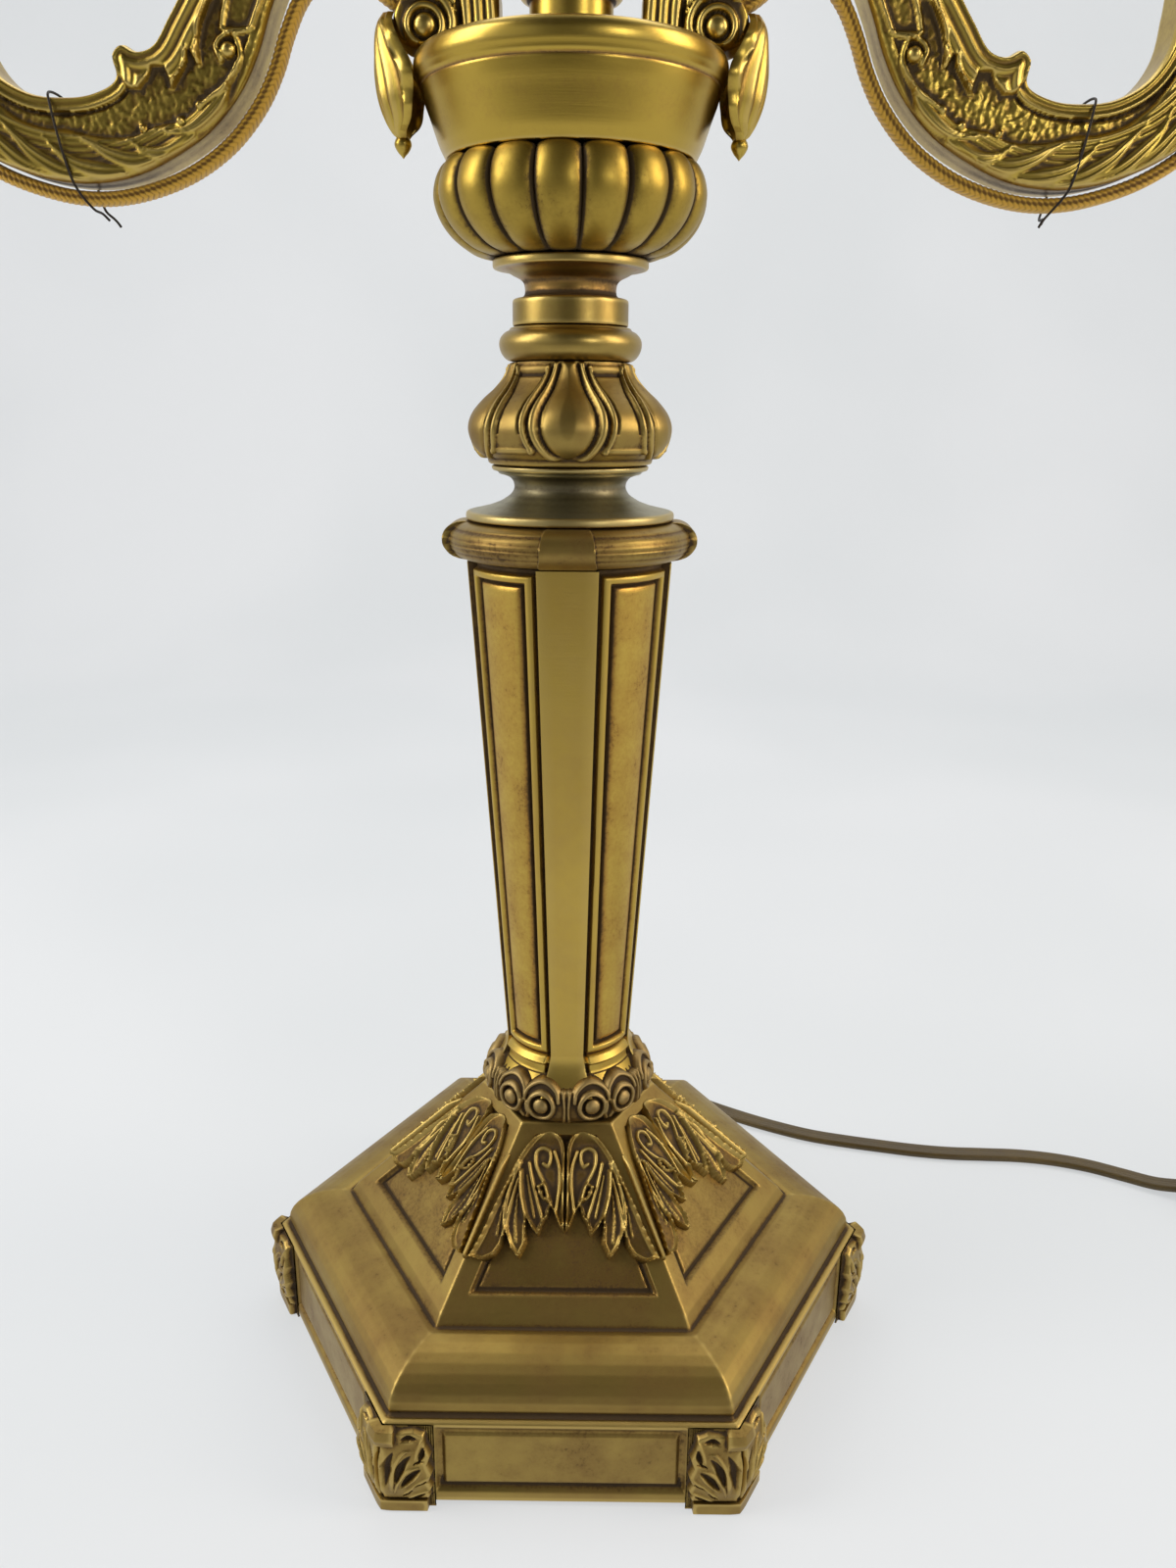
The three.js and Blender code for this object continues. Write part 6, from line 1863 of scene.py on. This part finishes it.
    def wheel(self) -> bpy.types.Object:
        """Notched thumb wheel.

        Returns:
            The dressed piece.
        """
        turn = np.linspace(0, 2 * np.pi, 240, endpoint=False)
        notch = 0.55 * np.clip(np.cos(turn * 15), 0, 1) ** 0.5
        profile = np.array(dots("""
            2.15 -2.5, 8.6 -2.5, 9.5 -2.1, 9.78 -1.4, 9.78 1.4, 9.5 2.1, 8.6 2.5, 6.2 2.5, 5.8 2.1, 2.15 2.1"""))
        radius = profile[:, :1] - notch[None, :] * (profile[:, :1] > 9.0)
        height = np.broadcast_to(profile[:, 1:] + 8.2, radius.shape)
        points = np.stack([radius * np.cos(turn), radius * np.sin(turn) + 4.1, height], axis=-1)
        return settle("thumb_wheel", self._placed(points), Finish.SHELL, "switch_wheel",
                      hollow=np.broadcast_to(notch * 1.4, radius.shape), body="switch_wheel")

    def plug(self, path: Array) -> bpy.types.Object:
        """Two-blade plug that lies flat at the end of the lead.

        Args:
            path: Middle line of the lead.
        Returns:
            The dressed piece.
        """
        out = path[-1, :2] - path[-12, :2]
        angle = math.degrees(math.atan2(out[1], out[0]))
        turn = np.linspace(0, 2 * np.pi, 60, endpoint=False)
        length = np.concatenate([np.linspace(0.2, 18, 46), np.linspace(18.6, 32, 20)])
        reach = np.interp(length, [0, 3, 7, 10, 13, 16, 18, 30.8, 32],
                          [4.2, 4.6, 5.4, 6.6, 8.8, 10.6, 11.4, 11.5, 10.8])
        rise = np.interp(length, [0, 3, 10, 16, 30.8, 32], [3.0, 3.4, 4.6, 6.0, 6.0, 5.4])
        across, up = squared(turn, 0.45, 0.45).T
        rib = 0.06 * np.clip(np.cos(length * 2 * np.pi / 2.2), 0, 1) * ((length > 3) & (length < 13))
        y = across * (reach * (1 - rib))[:, None]
        z = up * (rise * (1 - rib))[:, None] + 6.0
        corners, faces = capped(np.stack([np.broadcast_to(length[:, None], y.shape), y, z], axis=-1))
        blades, blade_faces = self._blades()
        points = turned(np.vstack([corners, blades]), angle) + np.array([path[-1, 0], path[-1, 1], 0.0])
        skin = points, np.vstack([faces, blade_faces + len(corners)])
        piece = settle("lead_plug", skin, Finish.SHELL, "plug", hollow=np.repeat(rib * 12, len(turn)))
        piece.data.materials.append(Finish.STEEL.made())
        marks = np.zeros(len(piece.data.polygons), np.int32)
        marks[len(faces):] = 1
        piece.data.polygons.foreach_set("material_index", marks)
        return piece

    @staticmethod
    def _blades() -> tuple[Array, Array]:
        """Two rounded blades.

        Returns:
            Points and faces.
        """
        outline = rounded(dots("29 -3.2, 48.6 -3.2, 48.6 3.2, 29 3.2"), 1.6, closed=True, steps=5)
        points, faces = [], []
        for side in (-6.35, 6.35):
            rows = [np.stack([outline[:, 0], np.full(len(outline), side + y), outline[:, 1] + 6.0], axis=1)
                    for y in (-0.75, 0.75)]
            block, quads = capped(np.stack(rows))
            faces.append(quads + sum(map(len, points)))
            points.append(block)
        return np.vstack(points), np.vstack(faces)


@dataclass
class Stack:
    """Turned pieces between the column and the bowl."""

    def build(self) -> None:
        """Makes neck, small torus and collar."""
        neck = dots("""
            7.1 264.9, 28.9 264.9, 29.3 265.4, 29.2 266.9, 28.4 267.3, 26.9 267.6, 23 268.5, 19.4 269.8,
            16.6 271.6, 15.5 273.4, 15.7 275, 16.6 276.3, 18.6 277.1, 19.8 277.3, 20.2 278, 21.6 278.3,
            21.9 279.2, 21.6 279.6, 7.1 279.6""")
        torus = dots("""
            7.1 306.7, 16.4 306.7, 17.6 307.3, 18.7 308.6, 19.3 310.2, 19.4 311.6, 18.9 313, 17.7 314.2,
            16.6 314.6, 16.2 315.4, 7.1 315.4""")
        collar = dots("""
            7.1 315.7, 15.4 315.7, 15.6 316, 15.6 322, 15.2 322.5, 13.4 322.7, 12.3 323.4, 12.2 325, 12.5 326.6,
            13.6 327.6, 15.4 328.4, 17 329.3, 18.1 329.8, 20.4 329.9, 20.8 330.3, 20.8 331.8, 20.4 332.2,
            7.1 332.2""")
        Turning("waisted_neck", neck, Finish.GREY, "hollow_neck", 0.9).build()
        Turning("upper_torus", torus, Finish.TURNED, "small_torus", 0.9).build()
        Turning("waisted_collar", collar, Finish.TURNED, "flanged_collar", 0.7).build()


@dataclass
class Studio:
    """Camera, lamps, floor and backdrop."""

    eye: tuple[float, float, float] = (7.49, -347.5, 294.96)
    pitch: float = 72.65
    yaw: float = 0.3
    roll: float = 0.45
    focal: float = 1229.5
    paper: tuple[str, str] = ("e0e3e5", "e7e9eb")

    def camera(self) -> None:
        """Puts the camera where the photograph was taken."""
        data = bpy.data.cameras.new("camera")
        data.sensor_fit = "VERTICAL"
        data.sensor_height = 36.0
        data.lens = self.focal / 1600 * 36.0
        data.clip_start = 0.01
        viewer = bpy.data.objects.new("camera", data)
        viewer.location = Vector(self.eye) * MM
        turns = [Matrix.Rotation(math.radians(angle), 3, axis)
                 for angle, axis in ((self.yaw, "Z"), (self.pitch, "X"), (self.roll, "Z"))]
        viewer.rotation_euler = (turns[0] @ turns[1] @ turns[2]).to_euler()
        bpy.context.scene.collection.objects.link(viewer)
        bpy.context.scene.camera = viewer

    def sweep(self) -> None:
        """Lays one sheet of paper that turns up into a backdrop."""
        turn = np.linspace(0, math.pi / 2, 14)
        line = np.vstack([[(-1400, 0)], [(-400, 0)], [(500, 0)],
                          np.stack([900 + 450 * np.sin(turn), 450 - 450 * np.cos(turn)], axis=1), [(1350, 2200)]])
        across = np.linspace(-2200, 2200, 12)
        points = np.array([[(x, y, z) for x in across] for y, z in line])
        paper = as_object("paper_sweep", points - np.array([0, 0, 0.02]), grid_faces(len(line), 12), crease=80)
        if paper.data.polygons[0].normal.z < 0:
            paper.data.flip_normals()
        material = bpy.data.materials.new("paper")
        material.use_nodes = True
        nodes = Nodes(material.node_tree)
        path = nodes.make("ShaderNodeLightPath")
        glossy = nodes.signal(path, "Is Glossy Ray")
        parts = nodes.make("ShaderNodeSeparateXYZ", sockets={0: nodes.place()})
        # Seen only in reflections on the metal, the paper in front of the lamp is painted dark (6f6c64): a painted
        # shadow in front of the lamp.
        front = (0.0 - nodes.signal(parts, "Y")).step(0.42, 0.8)
        cloud = nodes.noise(500.0, 2.0, 0.5)
        tone = nodes.mixed(cloud.step(0.3, 0.7), *map(tint, self.paper))
        matt = nodes.make("ShaderNodeBsdfDiffuse", sockets={"Color": tone})
        paper_with_painted_shadow = nodes.mixed(front * glossy, tone, tint("6f6c64"))
        lit = nodes.make("ShaderNodeEmission", sockets={"Color": paper_with_painted_shadow, "Strength": 1.0})
        share = 0.7 * nodes.signal(path, "Is Camera Ray") + 0.9 * glossy
        mixed = nodes.make("ShaderNodeMixShader",
                           sockets={0: share.clipped(), 1: nodes.signal(matt), 2: nodes.signal(lit)})
        nodes.make("ShaderNodeOutputMaterial", sockets={"Surface": nodes.signal(mixed)})
        paper.data.materials.append(material)

    def lamp(self, name: str, azimuth: float, elevation: float, far: float, size: tuple[float, float], power: float,
             colour: tuple[float, float, float]) -> None:
        """Adds a soft box that looks at the lamp's middle.

        Args:
            name: Name of the soft box.
            azimuth: Angle from the front in degrees, towards +X.
            elevation: Angle above the table in degrees.
            far: Distance in metres.
            size: Width and height in metres.
            power: Power in watts.
            colour: Colour of its light.
        """
        data = bpy.data.lights.new(name, "AREA")
        data.shape = "RECTANGLE"
        data.size, data.size_y = size
        data.energy = power
        data.color = colour
        box = bpy.data.objects.new(name, data)
        turn, rise = math.radians(azimuth), math.radians(elevation)
        aim = Vector((0, 0, 0.25))
        away = Vector((math.sin(turn) * math.cos(rise), -math.cos(turn) * math.cos(rise), math.sin(rise)))
        box.location = aim + away * far
        box.rotation_euler = away.to_track_quat("Z", "Y").to_euler()
        bpy.context.scene.collection.objects.link(box)

    def world(self) -> None:
        """Room around the lamp: pale behind and beside, dim in front."""
        world = bpy.data.worlds.new("room")
        world.use_nodes = True
        bpy.context.scene.world = world
        nodes = Nodes(world.node_tree)
        direction = nodes.signal(nodes.make("ShaderNodeTexCoord"), "Generated")
        parts = nodes.make("ShaderNodeSeparateXYZ", sockets={0: direction})
        front = 0.0 - nodes.signal(parts, "Y")
        across = nodes.signal(parts, "X")
        facing = front.step(0.1, 0.8) * (1.0 - (across * across).step(0.03, 0.3))
        above = nodes.signal(parts, "Z").step(0.3, 0.7) * front.step(-0.1, 0.4)
        tone = nodes.mixed((facing * 0.8 + above * 0.9).clipped(), tint("e9edf2"), tint("4f4e48"))
        background = nodes.make("ShaderNodeBackground", sockets={"Color": tone, "Strength": 0.62})
        nodes.make("ShaderNodeOutputWorld", sockets={"Surface": nodes.signal(background)})

    def build(self) -> None:
        """Sets up everything that isn't the lamp."""
        self.camera()
        self.sweep()
        self.world()
        self.lamp("left_window", -78, 30, 1.3, (0.6, 1.1), 12.0, (1.0, 0.98, 0.94))
        self.lamp("right_window", 36, 14, 1.5, (0.3, 0.5), 3.0, (1.0, 0.97, 0.92))
        self.lamp("right_lamp", 80, 24, 1.3, (0.5, 0.9), 9.0, (1.0, 0.88, 0.74))
        self.lamp("ceiling", 170, 66, 1.6, (1.6, 1.0), 9.0, (1.0, 1.0, 1.0))


CARRIED = {
    "base_board": Finish.FELT, "lamp_pipe": Finish.STEEL, "pipe_washer": Finish.STEEL, "pipe_nut": Finish.TURNED,
    "inner_lead": Finish.CORD, "terminal_block": Finish.RESIN, "right_arm_screw": Finish.STEEL,
    "left_arm_screw": Finish.STEEL,
}


def main() -> None:
    """Builds every piece in order, each reported when it is settled."""
    logging.basicConfig(level=logging.INFO, format="%(name)s: %(message)s")
    bpy.context.scene.view_settings.view_transform = "Standard"
    base, fittings = Base(), ArmFittings()
    for build in (Studio().build, MainsLead().build, fittings.build_cords, base.build, LeafCollar(base).build,
                  MedallionRing().build, Column().build, Capital().build, Stack().build, Knop().build, Bowl().build,
                  Urn().build, Arm().build, ScrollLeaf().build, fittings.build_ties, CornerFoot().build):
        build()
    for name, reach, height in (("right", 160.5, 417.7), ("left", -160.5, 417.7), ("centre", 0.0, 446.6)):
        CandleLight(name, (reach, 0.0, height)).build()
    for node, finish in CARRIED.items():
        finish.dress(frame["nodes"][node])
        LOG.info("dressed %s", node)


if __name__ == "__main__":
    main()
